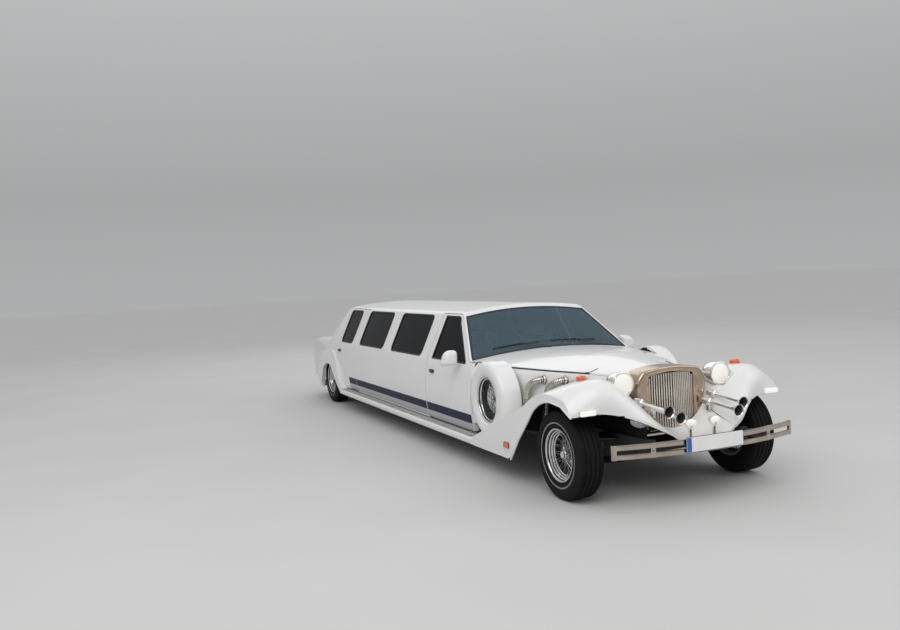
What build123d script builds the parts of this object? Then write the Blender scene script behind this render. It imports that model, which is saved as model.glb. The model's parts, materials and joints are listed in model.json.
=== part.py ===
from build123d import *
import os
from math import cos, pi, sin

# A neo-classic stretch limousine: long cabin, sweeping front wings with side-mounted spare wheels,
# upright radiator, running boards and wire wheels. Millimetres; X runs forward, Y to the left and Z
# up from the floor, and the origin is under the middle of the car.

# Driving sizes of the whole car
wheelbase = 6860
front_overhang = 760
rear_overhang = 1380
track = 1656
tyre_diameter = 712
tyre_width = 225
bead_radius = 196
rim_flange_radius = 212

front_axle = (wheelbase + front_overhang + rear_overhang) / 2 - front_overhang
rear_axle = front_axle - wheelbase
front_end = front_axle + front_overhang
rear_end = rear_axle - rear_overhang
axle_z = tyre_diameter / 2
half_track = track / 2

# Fits
seat_gap = 0.3      # between pieces that bear on each other
glass_gap = 0.6     # round a side pane
screen_gap = 1.2    # round the windscreen and the rear window
edge_gap = 7        # round doors and lids
rear_edge_gap = 12  # behind a door, whose framed top swings back as it opens

# Cross-section of the cabin
sill_z = 300
sill_half_width = 930
waist_z = 610
waist_half_width = 962
belt_z = 935
belt_half_width = 918
rail_z = 1386
rail_half_width = 706
roof_edge_z = 1428
roof_edge_half_width = 640
roof_z = 1475
door_wall = 60
pillar_wall = 22
roof_wall = 38
door_top_z = 1402
stop_thick = 9
stop_root = 30
stop_lap = 18
stop_top_drop = 40
stop_foot = 120

# Lengthwise places in the cabin, back from the front axle; the rear ones follow the rear axle
front_door_front = 1600
front_door_rear = 2780
rear_door_front = wheelbase - 1410
rear_door_rear = wheelbase - 520
screen_base = 1704
screen_base_z = 989
screen_half_width = belt_half_width - 55
screen_bow = 84
screen_slope = 1.376
rear_screen_base = wheelbase + 40
rear_screen_base_z = 900
rear_screen_slope = 0.918

# Windows: z of the two edges, then one row of X places back from the front axle for each pane
window_low_z = 948
window_high_z = 1378
window_corner = 60
glass_depth = 8
glass_thick = 6

# Chassis
rail_half_spacing = 435
rail_width = 70
rail_depth = 112
frame_top_z = 390
floor_thick = 20
floor_half_width = sill_half_width - 68
rear_floor_z = 575
floor_step = wheelbase - 880
rear_floor_half_width = 690
kick_up_z = 570
member_depth = 45
member_drop = 4
apron_member_drop = 35
steer_axis_half_spacing = 700

# Bonnet, wings and trim
panel = 12
cowl_panel = 14
wing_outer = 1000
shell_front = 245
shell_depth = 190
spare_back = 1226
spare_z = 660
spare_radius = 355
spare_face = 977
spare_depth = 195
spare_set_in = 118
board_half_width = sill_half_width + 92
pipe_radius = 32
pipe_bend = 52
board_top_z = 283
board_bottom_z = 212
board_rear = wheelbase - 800
bumper_low_z = 410
bumper_bar_height = 39
bumper_bar_gap = 30
bumper_thick = 14
bumper_half_width = 833
bumper_sweep = 130

# Front and rear of each pane, back from the front axle
fixed_panes = [
    (front_door_rear + 230, rear_door_front - 1400),
    (rear_door_front - 1090, rear_door_front - 90),
]
rear_door_pane = (rear_door_front + 240, rear_door_rear - 90)

# Bonnet: wall half-width, shoulder z, lid half-width, lid edge z and crown z at stations back
# from the front axle
bonnet_stations = [
    # back, wall, shoulder z, lid, lid z, crown z
    (1597, belt_half_width + 20, 880, belt_half_width - 66, 974, 1045),
    (1116, 800, 900, 775, 963, 1046),
    (661, 632, 905, 612, 952, 1038),
    (300, 440, 895, 420, 938, 1016),
    (shell_depth - shell_front, 312, 880, 292, 928, 990),
]
bonnet_low_z = 400
bonnet_lid_rear = 1590
bonnet_lid_front = shell_depth - shell_front + 3
bonnet_lid_waist = 14  # the lid's rear corners stand in by this, to clear its opening as it swings
ledge_thick = 10
ledge_rear = 60
ledge_front = -20

# Rear body
tail_wall = 24
tail_step_back = 120
deck_front = wheelbase + 100
lid_front = wheelbase + 180
lid_half_width = 590
lid_low_z = 600
channel_thick = 9
channel_lap = 22

wheel_house_radius = 402
wheel_house_wall = 8
axle_travel = 110

# Wheels
tread_half_width = 98
rim_half_width = 100
rim_wall = 9
spoke_count = 16
spoke_thick = 6
hub_radius = 36
hub_inner = -28
hub_outer = 66
spindle_radius = 18
spindle_reach = 40
wheel_names = [("front_left", front_axle, 1), ("front_right", front_axle, -1),
               ("rear_left", rear_axle, 1), ("rear_right", rear_axle, -1)]

# Front suspension and steering
knuckle_half_height = 92
knuckle_half_width = 30
arm_thick = 16

front_rail_z = 500
kick_start = wheelbase - 760
kick_end = wheelbase + 790
tail_rail_z = 520
rail_front = 550
rail_rear = wheelbase + rear_overhang - 180
front_members = [-430, 430, 1290, 2110, 2950]
rear_members = [wheelbase + d for d in (-780, -380, 460, 1100)]
lounge_members = [front_members[-1] + (rear_members[0] - front_members[-1]) * k / 4 for k in (1, 2, 3)]
frame_splits = (900, kick_start - 70)   # where the frame's middle length meets its ends
tow_hole_radius = 6.5
tow_hole_half_pitch = (25, 80)

frame_corners = [
    (-rail_front, front_rail_z), (350, front_rail_z), (900, frame_top_z), (kick_start, frame_top_z),
    (kick_start + 300, kick_up_z), (kick_end - 250, kick_up_z), (kick_end, tail_rail_z),
    (rail_rear, tail_rail_z),
]

rear_wall = wheelbase + 10

spring_half_length = 430
spring_leaf = 30

shaft_z = 300
shaft_radius = 32
gearbox_rear = 2250

# Wings: side-view outlines at stations out from the centre line, in front-axle terms
wing_stations = [
    # y, shoulder z, rise z, crest x, crest z, brow x, brow z, lip x, lip z
    (290, 815, 866, -20, 868, 320, 652, 622, 545),
    (430, 812, 886, 20, 888, 340, 772, 572, 622),
    (640, 790, 916, 190, 946, 390, 858, 434, 712),
    (860, 745, 886, 200, 926, 325, 852, 367, 735),
    (1000, 715, 842, 160, 826, 282, 782, 318, 715),
]
wing_tail_x = -1500
wing_shoulder_x = -400
wing_rise_x = -60
wing_low_z = 208
wing_well_x = -760
wing_lip = 22
tail_low_z = 285

arch_steps = [
    (-760, 150), (-551, 399), (-330, 618), ((-190, 732), (20, 788)), (190, 772), (352, 690), (720, 690),
    (720, 150),
]

nose_stations = [
    # y, rear z, brow x, brow z, lip x, lip z
    (290, 700, 400, 604, 622, 545),
    (170, 560, 410, 528, 630, 480),
    (0, 510, 410, 495, 633, 458),
]
nose_rear_x = 200

# Radiator
grille_low_z = 500
grille_bars = 21
grille_vee = 42
bar_half_width = 4
grille_set_in = 20
grille_half_width = 213
radiator_top_z = 1000

# Lamps
lamp_x = 254
lamp_y = 468
lamp_z = 896
lamp_radius = 99
lamp_rim = 7
lamp_depth = 215

horn_rows = [
    # tail x, tail y, tail z, mouth x, mouth y, mouth z
    (250, 352, 752, 664, 345, 716),
    (292, 268, 700, 700, 268, 668),
]
horn_body_radius = 30

rear_wing_outer = 1004


def back(distance):
    """X of a place that far behind the front axle."""
    return front_axle - distance


def side_at(y):
    return lambda p: (p[0], y, p[1])


def front_at(x):
    return lambda p: (x, p[0], p[1])


def plan_at(z):
    return lambda p: (p[0], p[1], z)


def upright(p):
    """Outline corner (radius, height) of a piece turned about its own Z."""
    return (p[0], 0, p[1])


def outline(place, steps):
    """Closed face through 2-D corners; a pair (through, end) of corners is reached by an arc."""
    edges = []
    here = steps[0]
    closed = isinstance(steps[-1][0], tuple) and steps[-1][1] == here
    for step in steps[1:] if closed else list(steps[1:]) + [here]:
        if isinstance(step[0], tuple):
            through, end = step
            edges.append(Edge.make_three_point_arc(place(here), place(through), place(end)))
        else:
            end = step
            edges.append(Edge.make_line(place(here), place(end)))
        here = end
    return Face(Wire(edges))


def shifted(steps, x):
    """The same outline moved along X."""
    def move(step):
        if isinstance(step[0], tuple):
            return (move(step[0]), move(step[1]))
        return (step[0] + x, step[1])
    return [move(step) for step in steps]


def prism_x(steps, x0, x1):
    return extrude(outline(front_at(x0), steps), amount=x1 - x0, dir=(1, 0, 0))


def prism_y(steps, y0, y1):
    return extrude(outline(side_at(y0), steps), amount=y1 - y0, dir=(0, 1, 0))


def prism_z(steps, z0, z1):
    return extrude(outline(plan_at(z0), steps), amount=z1 - z0, dir=(0, 0, 1))


def block(x0, x1, y0, y1, z0, z1):
    """Box between two corners."""
    centre = ((x0 + x1) / 2, (y0 + y1) / 2, (z0 + z1) / 2)
    return Pos(*centre) * Box(abs(x1 - x0), abs(y1 - y0), abs(z1 - z0))


def tube(start, end, radius):
    """Round bar from one point to another."""
    run = Vector(*end) - Vector(*start)
    return Solid.make_cylinder(radius, run.length, Plane(origin=start, z_dir=run))


def bar(start, end, thick):
    """Square bar from one point to another."""
    run = Vector(*end) - Vector(*start)
    return Plane(origin=start, z_dir=run) * Pos(0, 0, run.length / 2) * Box(thick, thick, run.length)


def turned(steps, place, point, direction):
    """Body of revolution of an outline about an axis."""
    return revolve(outline(place, steps), Axis(point, direction), 360)


def largest(shape):
    return max(shape.solids(), key=lambda s: s.volume)


def other_side(shape):
    return mirror(shape, Plane.XZ)


def both_sides(shape):
    """The left-hand piece with its right-hand twin."""
    return Compound(children=solids_of(shape) + solids_of(other_side(shape)))


def solids_of(shape):
    return [Solid(s.wrapped) for s in shape.solids()]


def group(*shapes):
    return Compound(children=[s for shape in shapes for s in solids_of(shape)])


def save(name, shape):
    parts = solids_of(shape)
    whole = parts[0] if len(parts) == 1 else Compound(children=parts)
    whole.label = name
    export_step(whole, f"parts/{name}.step")


def cabin_steps(side=0, pillar=0, roof=0, low=sill_z):
    """Cross-section of the cabin, drawn in by side below the belt, pillar above it, roof on top."""
    left = [
        (sill_half_width - side, low),
        ((waist_half_width - side, waist_z), (belt_half_width - side, belt_z)),
    ]
    if side != pillar:
        left.append((belt_half_width - pillar, belt_z))
    left.append((rail_half_width - pillar, rail_z))
    corner = (rail_half_width - 22 - pillar * 0.8, rail_z + 25 - roof * 0.7)
    left.append((corner, (roof_edge_half_width - pillar * 0.6, roof_edge_z - roof)))
    top = (0, roof_z - roof)
    right = mirrored_steps(left)
    return left + [(top, right[0])] + right[1:]


def mirrored_steps(steps):
    """The same run of steps on the other side of the centre line, walked back to its start."""
    points = []
    for step in steps:
        points.append(step if isinstance(step[0], tuple) else (None, step))
    walked = [(-points[-1][1][0], points[-1][1][1])]
    for i in range(len(points) - 1, 0, -1):
        through, _ = points[i]
        end = (-points[i - 1][1][0], points[i - 1][1][1])
        if through:
            walked.append(((-through[0], through[1]), end))
        else:
            walked.append(end)
    return walked


def cabin_skin(x0, x1, depth=0, thick=None):
    """Cabin shell between two X places; with a thickness, only the layer that deep under the skin."""
    outer = prism_x(cabin_steps(depth, depth, depth, sill_z - 50 if depth else sill_z), x0, x1)
    if thick is None:
        inner = cabin_steps(door_wall, pillar_wall, roof_wall, sill_z - 50)
    else:
        deep = depth + thick
        inner = cabin_steps(deep, deep, deep, sill_z - 50)
    return outer - prism_x(inner, x0 - 10, x1 + 10)


def behind_screen(shift=0):
    """Everything behind the raked, bowed windscreen surface, moved back by shift."""
    reach = 1400
    low = screen_base_z - 500
    high = screen_base_z + 700
    base = back(screen_base) + screen_slope * (screen_base_z - low) - shift
    wide = screen_half_width * 1.3
    bow = screen_bow
    side_x = base - bow * (1.3 ** 2 - 1)
    plan = [
        (side_x, -wide),
        ((base + bow, 0), (side_x, wide)),
        (base - reach * 4, wide),
        (base - reach * 4, -wide),
    ]
    face = outline(plan_at(low), plan)
    rise = high - low
    run = Vector(-screen_slope * rise, 0, rise)
    return extrude(face, amount=run.length, dir=run.normalized())


def ahead_of_rear_screen(shift=0):
    """Everything ahead of the sloping rear window surface, moved forward by shift."""
    def x_at(z):
        return back(rear_screen_base) + (z - rear_screen_base_z) * rear_screen_slope + shift
    low = 250
    high = roof_z + 100
    return prism_y(
        [(x_at(low), low), (front_axle, low), (front_axle, high), (x_at(high), high)], -1100, 1100
    )


def rounded_box_steps(x0, x1, z0, z1, radius):
    """Upright rectangle with four round corners, as outline steps, x0 behind x1."""
    k = radius * (1 - cos(pi / 4))
    return [
        (x0 + radius, z0),
        (x1 - radius, z0),
        ((x1 - k, z0 + k), (x1, z0 + radius)),
        (x1, z1 - radius),
        ((x1 - k, z1 - k), (x1 - radius, z1)),
        (x0 + radius, z1),
        ((x0 + k, z1 - k), (x0, z1 - radius)),
        (x0, z0 + radius),
        ((x0 + k, z0 + k), (x0 + radius, z0)),
    ]


def front_window_steps(trim=0):
    """Front door pane: square at the back, slanted along the windscreen pillar."""
    low, high = window_low_z + trim, window_high_z - trim
    rear = back(front_door_rear - 110) + trim
    toe = back(front_door_front + 172) - trim * 3
    slant = 1.27
    top = toe - (high - low - 55) * slant
    k = 14
    return [
        (rear + k, low),
        (toe - 10, low),
        (top + 12, high - 62),
        ((top - 28, high - 16), (top - 92, high)),
        (rear + k, high),
        ((rear + 4, high - 4), (rear, high - k)),
        (rear, low + k),
        ((rear + 4, low + 4), (rear + k, low)),
    ]


def pane_steps(pane, trim=0):
    front, rear = pane
    radius = window_corner - trim
    return rounded_box_steps(
        back(rear) + trim, back(front) - trim, window_low_z + trim, window_high_z - trim, radius
    )


def front_door_steps(grow=0):
    """Side view of the front door; grow widens it for the opening."""
    rear = back(front_door_rear) - (grow and rear_edge_gap)
    front = back(front_door_front) + grow
    low = sill_z + 15 - grow
    high = door_top_z + grow
    shoulder = 965 + grow
    foot = back(front_door_front + 108) + grow * 0.4
    top = foot - (high - shoulder) * 1.3
    return [
        (rear, low), (front, low), (front, shoulder), (foot, shoulder),
        (top + 66, high - 51), ((top + 6, high - 12), (top - 60, high)), (rear, high),
    ]


def rear_door_steps(grow=0):
    """Side view of the rear door, cut away over the rear wing."""
    rear = back(rear_door_rear) - (grow and rear_edge_gap)
    front = back(rear_door_front) + grow
    low = sill_z + 15 - grow
    high = door_top_z + grow
    toe = back(rear_door_rear - 500) - grow
    return [
        (toe, low), (front, low), (front, high), (rear, high),
        (rear, 722 - grow), (back(rear_door_rear - 320) - grow, 580 - grow),
    ]


def left_of(steps):
    """Prism of a side view through the left half of the car."""
    return prism_y(steps, 300, 1200)


def build_doors():
    x0, x1 = back(rear_door_rear + 300), back(front_door_front - 60)
    skin = cabin_skin(x0, x1) & block(x0, x1, 300, 1200, 0, 2000)
    front = (skin & left_of(front_door_steps())) - left_of(front_window_steps())
    rear = (skin & left_of(rear_door_steps())) - left_of(pane_steps(rear_door_pane))
    layer = cabin_skin(x0, x1, glass_depth, glass_thick)
    front_glass = layer & left_of(front_window_steps(glass_gap))
    rear_glass = layer & left_of(pane_steps(rear_door_pane, glass_gap))
    return {
        "door_front": front, "door_rear": rear,
        "door_glass_front": front_glass, "door_glass_rear": rear_glass,
    }


def door_stop(door_rear, low):
    """Rubber-faced lip of the body, just inside the rear edge of a closed left-hand door."""
    edge = back(door_rear) - rear_edge_gap
    zone = block(edge - stop_root, back(door_rear) + stop_lap, 300, 1200, low, belt_z - stop_top_drop)
    root = cabin_skin(edge - stop_root, edge, door_wall - stop_thick, 2 * stop_thick)
    lip = cabin_skin(edge - stop_root, back(door_rear) + stop_lap, door_wall + seat_gap,
                     stop_thick - seat_gap)
    return (root + lip) & zone


def build_side_panels():
    """Fixed side between the doors, with the two long windows of the lounge."""
    x0 = back(rear_door_front) + edge_gap
    x1 = back(front_door_rear) - rear_edge_gap
    half = block(x0, x1, 300, 1200, 0, door_top_z)
    panel_side = (cabin_skin(x0, x1) & half) + door_stop(front_door_rear, sill_z + stop_foot)
    layer = cabin_skin(x0, x1, glass_depth, glass_thick)
    panes = []
    for pane in fixed_panes:
        panel_side = panel_side - left_of(pane_steps(pane))
        panes.append(layer & left_of(pane_steps(pane, glass_gap)))
    return both_sides(panel_side), both_sides(Compound(children=panes))


def build_roof():
    """Roof with its windscreen pillars, down to the tops of the doors and side panels."""
    x1 = back(screen_base - 20)
    skin = cabin_skin(back(rear_door_rear) - rear_edge_gap, x1) & behind_screen()
    above = block(back(rear_door_rear) - rear_edge_gap, x1, -1200, 1200, door_top_z, 2000)
    roof = skin & above
    pillar_zone = block(back(front_door_rear), x1, 300, 1200, 972, door_top_z)
    pillar = (skin & pillar_zone) - left_of(front_door_steps(edge_gap))
    pillar = pillar - prism_x(cowl_steps(), back(screen_base + 200), x1)
    pillar = largest(pillar)
    doors = left_of(front_door_steps(edge_gap)) + left_of(rear_door_steps(edge_gap))
    roof = roof - doors - other_side(doors)
    return roof + pillar + other_side(pillar)


def build_screens():
    """Windscreen between the pillars and the rear window between the quarters."""
    x0, x1 = back(rear_screen_base + 150), back(screen_base - 60)
    inside = prism_x(
        cabin_steps(door_wall, pillar_wall + screen_gap, roof_wall + screen_gap, 500), x0, x1
    )
    glass = (behind_screen(4) - behind_screen(14)) & inside
    glass = glass - prism_x(cowl_steps(seat_gap), x0, x1)
    glass = glass & block(x0, x1, -1200, 1200, 972, 2000)
    windscreen = largest(glass)
    rear_glass = (ahead_of_rear_screen(4) - ahead_of_rear_screen(14)) & inside
    rear_glass = rear_glass - prism_x(tail_section(-screen_gap), x0, x1)
    rear_window = largest(rear_glass)
    return windscreen, rear_window


def bonnet_block(inset=0, low=bonnet_low_z):
    faces = []
    for distance, wall, shoulder, lid, lid_z, crown in bonnet_stations:
        steps = [
            (wall - inset, low), (wall - inset, shoulder - inset),
            (lid - inset * 0.7, lid_z - inset),
        ]
        right = mirrored_steps(steps)
        steps = steps + [((0, crown - inset), right[0])] + right[1:]
        faces.append(outline(front_at(back(distance)), steps))
    return loft(faces, ruled=True)


def bonnet_lid_steps(gap=0):
    """Plan of the bonnet lid; gap widens it for its opening."""
    left = [(back(d), lid + gap) for d, wall, sz, lid, lz, c in bonnet_stations]
    left[0] = (back(bonnet_lid_rear) - gap, left[0][1] - (0 if gap else bonnet_lid_waist))
    left[-1] = (back(bonnet_lid_front) + gap, left[-1][1])
    return left + [(x, -y) for x, y in reversed(left)]


def build_bonnet():
    shell = bonnet_block() - bonnet_block(cowl_panel, bonnet_low_z - 50)
    lid_zone = prism_z(bonnet_lid_steps(), 915, 1200)
    opening = prism_z(bonnet_lid_steps(edge_gap), 880, 1200)
    lid = shell & lid_zone
    rails = block(back(450), front_axle + 200, -700, 700, 0, front_rail_z + 15)
    ledge = (bonnet_block(cowl_panel + seat_gap) - bonnet_block(cowl_panel + ledge_thick)) \
        + ((bonnet_block(cowl_panel / 2) - bonnet_block(cowl_panel + ledge_thick)) - opening)
    ledge = ledge & block(back(ledge_rear), back(ledge_front), -800, 800, 860, 1200)
    return lid, (shell - opening - rails) + ledge


def cowl_steps(grow=0):
    """Cross-section of the scuttle top, level with the rear of the bonnet."""
    lid_z, crown = bonnet_stations[0][-2:]
    inner, outer = belt_half_width - 72, belt_half_width - 18
    left = [(inner, 925), (inner, 972), (outer, 972), (outer, lid_z + grow)]
    right = mirrored_steps(left)
    return left + [((0, crown + grow), right[0])] + right[1:]


def build_cowl():
    """Scuttle between bonnet and windscreen, with the bulkhead behind the engine."""
    front = back(bonnet_lid_rear + edge_gap + 3)
    rear = back(screen_base + 60)
    crown = bonnet_stations[0][-1]
    top = prism_x(cowl_steps(), rear, front)
    inner = belt_half_width - 92
    hollow = [(inner, 900), (inner, 940), ((0, crown - 24), (-inner, 940)), (-inner, 900)]
    top = top - prism_x(hollow, rear - 5, front + 5)
    middle = back(front_door_front + 50)
    half = belt_half_width - 72
    wall = [(half, frame_top_z + floor_thick), (half, 930), ((0, crown - 20), (-half, 930)),
            (-half, frame_top_z + floor_thick)]
    doors = left_of(front_door_steps(edge_gap))
    return top - doors - other_side(doors) + prism_x(wall, middle - 10, middle + 10)


def tail_section(inset=0, low=sill_z + 30):
    """Cross-section of the rear body under the belt, with the crowned deck."""
    left = [
        (sill_half_width - inset, low),
        ((waist_half_width - inset, waist_z), (belt_half_width - inset, belt_z - 20)),
        ((belt_half_width - 12 - inset, belt_z + 4 - inset * 0.6),
         (belt_half_width - 60 - inset * 0.5, belt_z + 14 - inset)),
    ]
    right = mirrored_steps(left)
    return left + [((0, belt_z + 40 - inset), right[0])] + right[1:]


def tail_block(inset=0):
    """Solid of the rear body: cross-section, plan and side view together."""
    front = back(rear_door_rear) - rear_edge_gap
    end = rear_end + tail_step_back + inset
    low = sill_z + 30 if inset == 0 else sill_z - 40
    body = prism_x(tail_section(inset, low), end - 20, front)
    flank_x, corner_x, deck_x = rear_axle - 290, rear_axle - 940, rear_axle - 740
    plan = [
        (front, 1100), (flank_x, 1000 - inset), ((corner_x, 930 - inset), (end + 150, 800 - inset)),
        ((end + 40, 700 - inset), (end + 6, 560 - inset)), ((end, 0), (end + 6, inset - 560)),
        ((end + 40, inset - 700), (end + 150, inset - 800)),
        ((corner_x, inset - 930), (flank_x, inset - 1000)), (front, -1100),
    ]
    side = [
        (front, low), (front, 1100), (back(deck_front), 1100 - inset),
        (back(deck_front), belt_z + 45 - inset), ((deck_x, 930 - inset), (end + 130, 842 - inset)),
        ((end + 30, 790 - inset), (end, 690)), (end, 560), ((end + 12, 420), (end + 60, low)),
    ]
    return body & prism_z(plan, 0, 1200) & prism_y(side, -1200, 1200)


def wheel_zone(radius, y0, y1):
    return tube((rear_axle, y0, axle_z), (rear_axle, y1, axle_z), radius)


def build_rear_body():
    """Rear quarters, tail and the boot lid cut out of the same skin."""
    front = back(rear_door_rear) - rear_edge_gap
    toe = back(rear_door_rear - 520)
    quarters = cabin_skin(back(rear_screen_base + 100), toe) & ahead_of_rear_screen()
    quarters = quarters & block(back(rear_screen_base + 100), toe, -1200, 1200, 0, door_top_z)
    doors = left_of(rear_door_steps(edge_gap))
    doors = doors + other_side(doors) + block(front, toe, -1200, 1200, 730, 1500)
    tail = tail_block() - tail_block(tail_wall)
    cabin = prism_x(cabin_steps(door_wall, pillar_wall, roof_wall, 100), back(deck_front) - 5, front + 5)
    tail = tail - (cabin & ahead_of_rear_screen(-10)
                   & block(back(deck_front) - 5, front + 5, -1200, 1200, 700, 1200))
    body = quarters + tail
    wheels = wheel_zone(wheel_house_radius, rear_floor_half_width, 1100)
    body = body - wheels - other_side(wheels) - doors
    lid_x = back(lid_front)
    zone = prism_y([
        (lid_x, 700), (lid_x, 1100), (rear_end, 1100), (rear_end, lid_low_z), (rear_end + 320, lid_low_z)
    ], -lid_half_width, lid_half_width)
    opening = prism_y([
        (lid_x + edge_gap, 700), (lid_x + edge_gap, 1100), (rear_end, 1100),
        (rear_end, lid_low_z - edge_gap), (rear_end + 320, lid_low_z - edge_gap)
    ], -lid_half_width - edge_gap, lid_half_width + edge_gap)
    channel = tail_block(tail_wall + seat_gap) - tail_block(tail_wall + channel_thick)
    root = (tail_block(tail_wall - channel_thick) - tail_block(tail_wall + channel_thick)) - opening
    run = block(back(lid_front + 480), back(lid_front + 80), lid_half_width - channel_lap,
                lid_half_width + edge_gap + channel_lap, 800, 1100)
    channel = (channel + root) & (run + other_side(run))
    stops = door_stop(rear_door_rear, 745)
    body_shell = largest(body - opening) + channel + stops + other_side(stops)
    return largest(body_shell), largest(body & zone)


def at_origin(p):
    """Wheel profile corner (offset outward, radius) in the plane through the axle."""
    return (0, p[0], p[1])


def build_tyre():
    """Tyre about the Y axis, centred on the origin."""
    r, w = tyre_diameter / 2, tyre_width / 2
    side = (r + bead_radius) / 2 + 6
    half = [
        (92, rim_flange_radius + 3), (w - 5, side - 34), (w, side), (w - 3, side + 30),
        (tread_half_width, r - 13), (tread_half_width - 16, r - 3),
    ]
    profile = [(-92, bead_radius + seat_gap), (92, bead_radius + seat_gap)] + half + [(0, r)]
    profile += [(-y, radius) for y, radius in reversed(half)]
    return turned(profile, at_origin, (0, 0, 0), (0, 1, 0))


def build_rim():
    """Wire wheel about the Y axis, outer face towards +Y, bored for its spindle."""
    b, f, h = bead_radius, rim_flange_radius, rim_half_width
    well = [
        (-h, b - rim_wall), (-h, f), (-h + 7, f), (-h + 7, b), (-34, b), (-24, b - 26),
        (h - 62, b - 26), (h - 50, b), (h - 7, b), (h - 7, f), (h, f), (h, b - rim_wall),
        (h - 46, b - rim_wall), (h - 58, b - 26 - rim_wall), (-28, b - 26 - rim_wall),
        (-38, b - rim_wall),
    ]
    rim = turned(well, at_origin, (0, 0, 0), (0, 1, 0))
    hub = [
        (hub_inner, spindle_radius + seat_gap), (hub_inner, hub_radius + 10),
        (hub_inner + 14, hub_radius + 10), (hub_inner + 22, hub_radius),
        (hub_outer - 12, hub_radius - 4), (hub_outer, hub_radius - 12), (hub_outer, 0),
        (spindle_reach + seat_gap, 0), (spindle_reach + seat_gap, spindle_radius + seat_gap),
    ]
    pieces = [turned(hub, at_origin, (0, 0, 0), (0, 1, 0))]
    rows = [
        # hub offset, hub radius, rim offset, rim radius, half a pitch of lead
        (hub_outer - 16, hub_radius - 8, 24, b - 30, 1.4),
        (hub_inner + 8, hub_radius + 4, 2, b - 30, -1.4),
    ]
    pitch = 2 * pi / spoke_count
    for hub_y, hub_r, rim_y, rim_r, lead in rows:
        for i in range(spoke_count):
            turn = i * pitch + (pitch / 2 if lead < 0 else 0)
            lean = lead * pitch * (1 if i % 2 else -1)
            start = (hub_r * cos(turn), hub_y, hub_r * sin(turn))
            end = (rim_r * cos(turn + lean), rim_y, rim_r * sin(turn + lean))
            pieces.append(bar(start, end, spoke_thick))
    return rim.fuse(*pieces)


def wheel_place(axle_x, side):
    turn = 0 if side > 0 else 180
    return Pos(axle_x, side * half_track, axle_z) * Rot(0, 0, turn)


def build_knuckle():
    """Left steering knuckle with its wheel spindle."""
    y = steer_axis_half_spacing
    post = block(front_axle - 28, front_axle + 28, y - knuckle_half_width, y + knuckle_half_width,
                 axle_z - knuckle_half_height, axle_z + knuckle_half_height)
    post = chamfer(post.edges().filter_by(Axis.Y), 10)
    spindle = tube((front_axle, y, axle_z), (front_axle, half_track + spindle_reach, axle_z),
                   spindle_radius)
    collar = tube((front_axle, y + knuckle_half_width, axle_z),
                  (front_axle, half_track + hub_inner - 4, axle_z), 34)
    arm = block(front_axle - 150, front_axle - 20, y - 26, y - 8, axle_z - 40, axle_z - 20)
    return post + spindle + collar + arm


def build_front_suspension():
    """Cross-beam under the frame rails with two wishbones a side, up to the knuckles."""
    beam_top = front_rail_z - rail_depth
    beam = block(front_axle - 80, front_axle + 80, -rail_half_spacing - rail_width / 2,
                 rail_half_spacing + rail_width / 2, axle_z - 70, beam_top)
    beam = beam - block(front_axle - 66, front_axle + 66, -330, 330, axle_z - 52, beam_top + 5)
    y0, y1 = rail_half_spacing, steer_axis_half_spacing
    pieces = []
    for z0 in (axle_z - knuckle_half_height - seat_gap - arm_thick,
               axle_z + knuckle_half_height + seat_gap):
        root_y = y0 - 30 if z0 < axle_z else y0 + rail_width / 2
        plan = [
            (front_axle - 140, root_y), (front_axle + 140, root_y), (front_axle + 140, root_y + 30),
            (front_axle + 26, y1 - 20), ((front_axle, y1 + 26), (front_axle - 26, y1 - 20)),
            (front_axle - 140, root_y + 30),
        ]
        pieces.append(prism_z(plan, z0, z0 + arm_thick))
    low_post = block(front_axle - 80, front_axle + 80, y0 - 30, y0 + 10,
                     axle_z - knuckle_half_height - seat_gap - 1, axle_z - 60)
    beam = beam + pieces[0] + other_side(pieces[0]) + low_post + other_side(low_post)
    return beam, pieces[1]


def rail_top_z(distance):
    """Height of the top of a frame rail at a place behind the front axle."""
    corners = frame_corners
    for (d0, z0), (d1, z1) in zip(corners, corners[1:]):
        if d0 <= distance <= d1:
            return z0 + (z1 - z0) * (distance - d0) / (d1 - d0)
    return corners[-1][1]


def build_chassis_frame():
    """Ladder frame in three lengths: two rails swept up over the axles, joined by cross-members."""
    top = [(back(d), z) for d, z in frame_corners]
    low = [(x, z - rail_depth) for x, z in reversed(top)]
    rail = prism_y(top + low, rail_half_spacing - rail_width / 2, rail_half_spacing + rail_width / 2)
    pieces = [other_side(rail)]
    for place in front_members + lounge_members + rear_members:
        z = rail_top_z(place) - (apron_member_drop if place == front_members[0] else member_drop)
        pieces.append(block(back(place) - 45, back(place) + 45, -rail_half_spacing,
                            rail_half_spacing, z - member_depth, z))
    frame = rail.fuse(*pieces)
    dx, dy = tow_hole_half_pitch
    for x, y in ((dx, dy), (dx, -dy), (-dx, dy), (-dx, -dy)):
        x = back(rear_members[-1]) + x
        frame = frame - tube((x, y, tail_rail_z - rail_depth), (x, y, tail_rail_z), tow_hole_radius)
    front, rear = (back(d) for d in frame_splits)
    lengths = [(front + seat_gap, front_end), (rear, front), (rear_end, rear - seat_gap)]
    wide = 2 * rail_half_spacing
    return [largest(frame & block(x0, x1, -wide, wide, 0, 2 * kick_up_z)) for x0, x1 in lengths]


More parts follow.
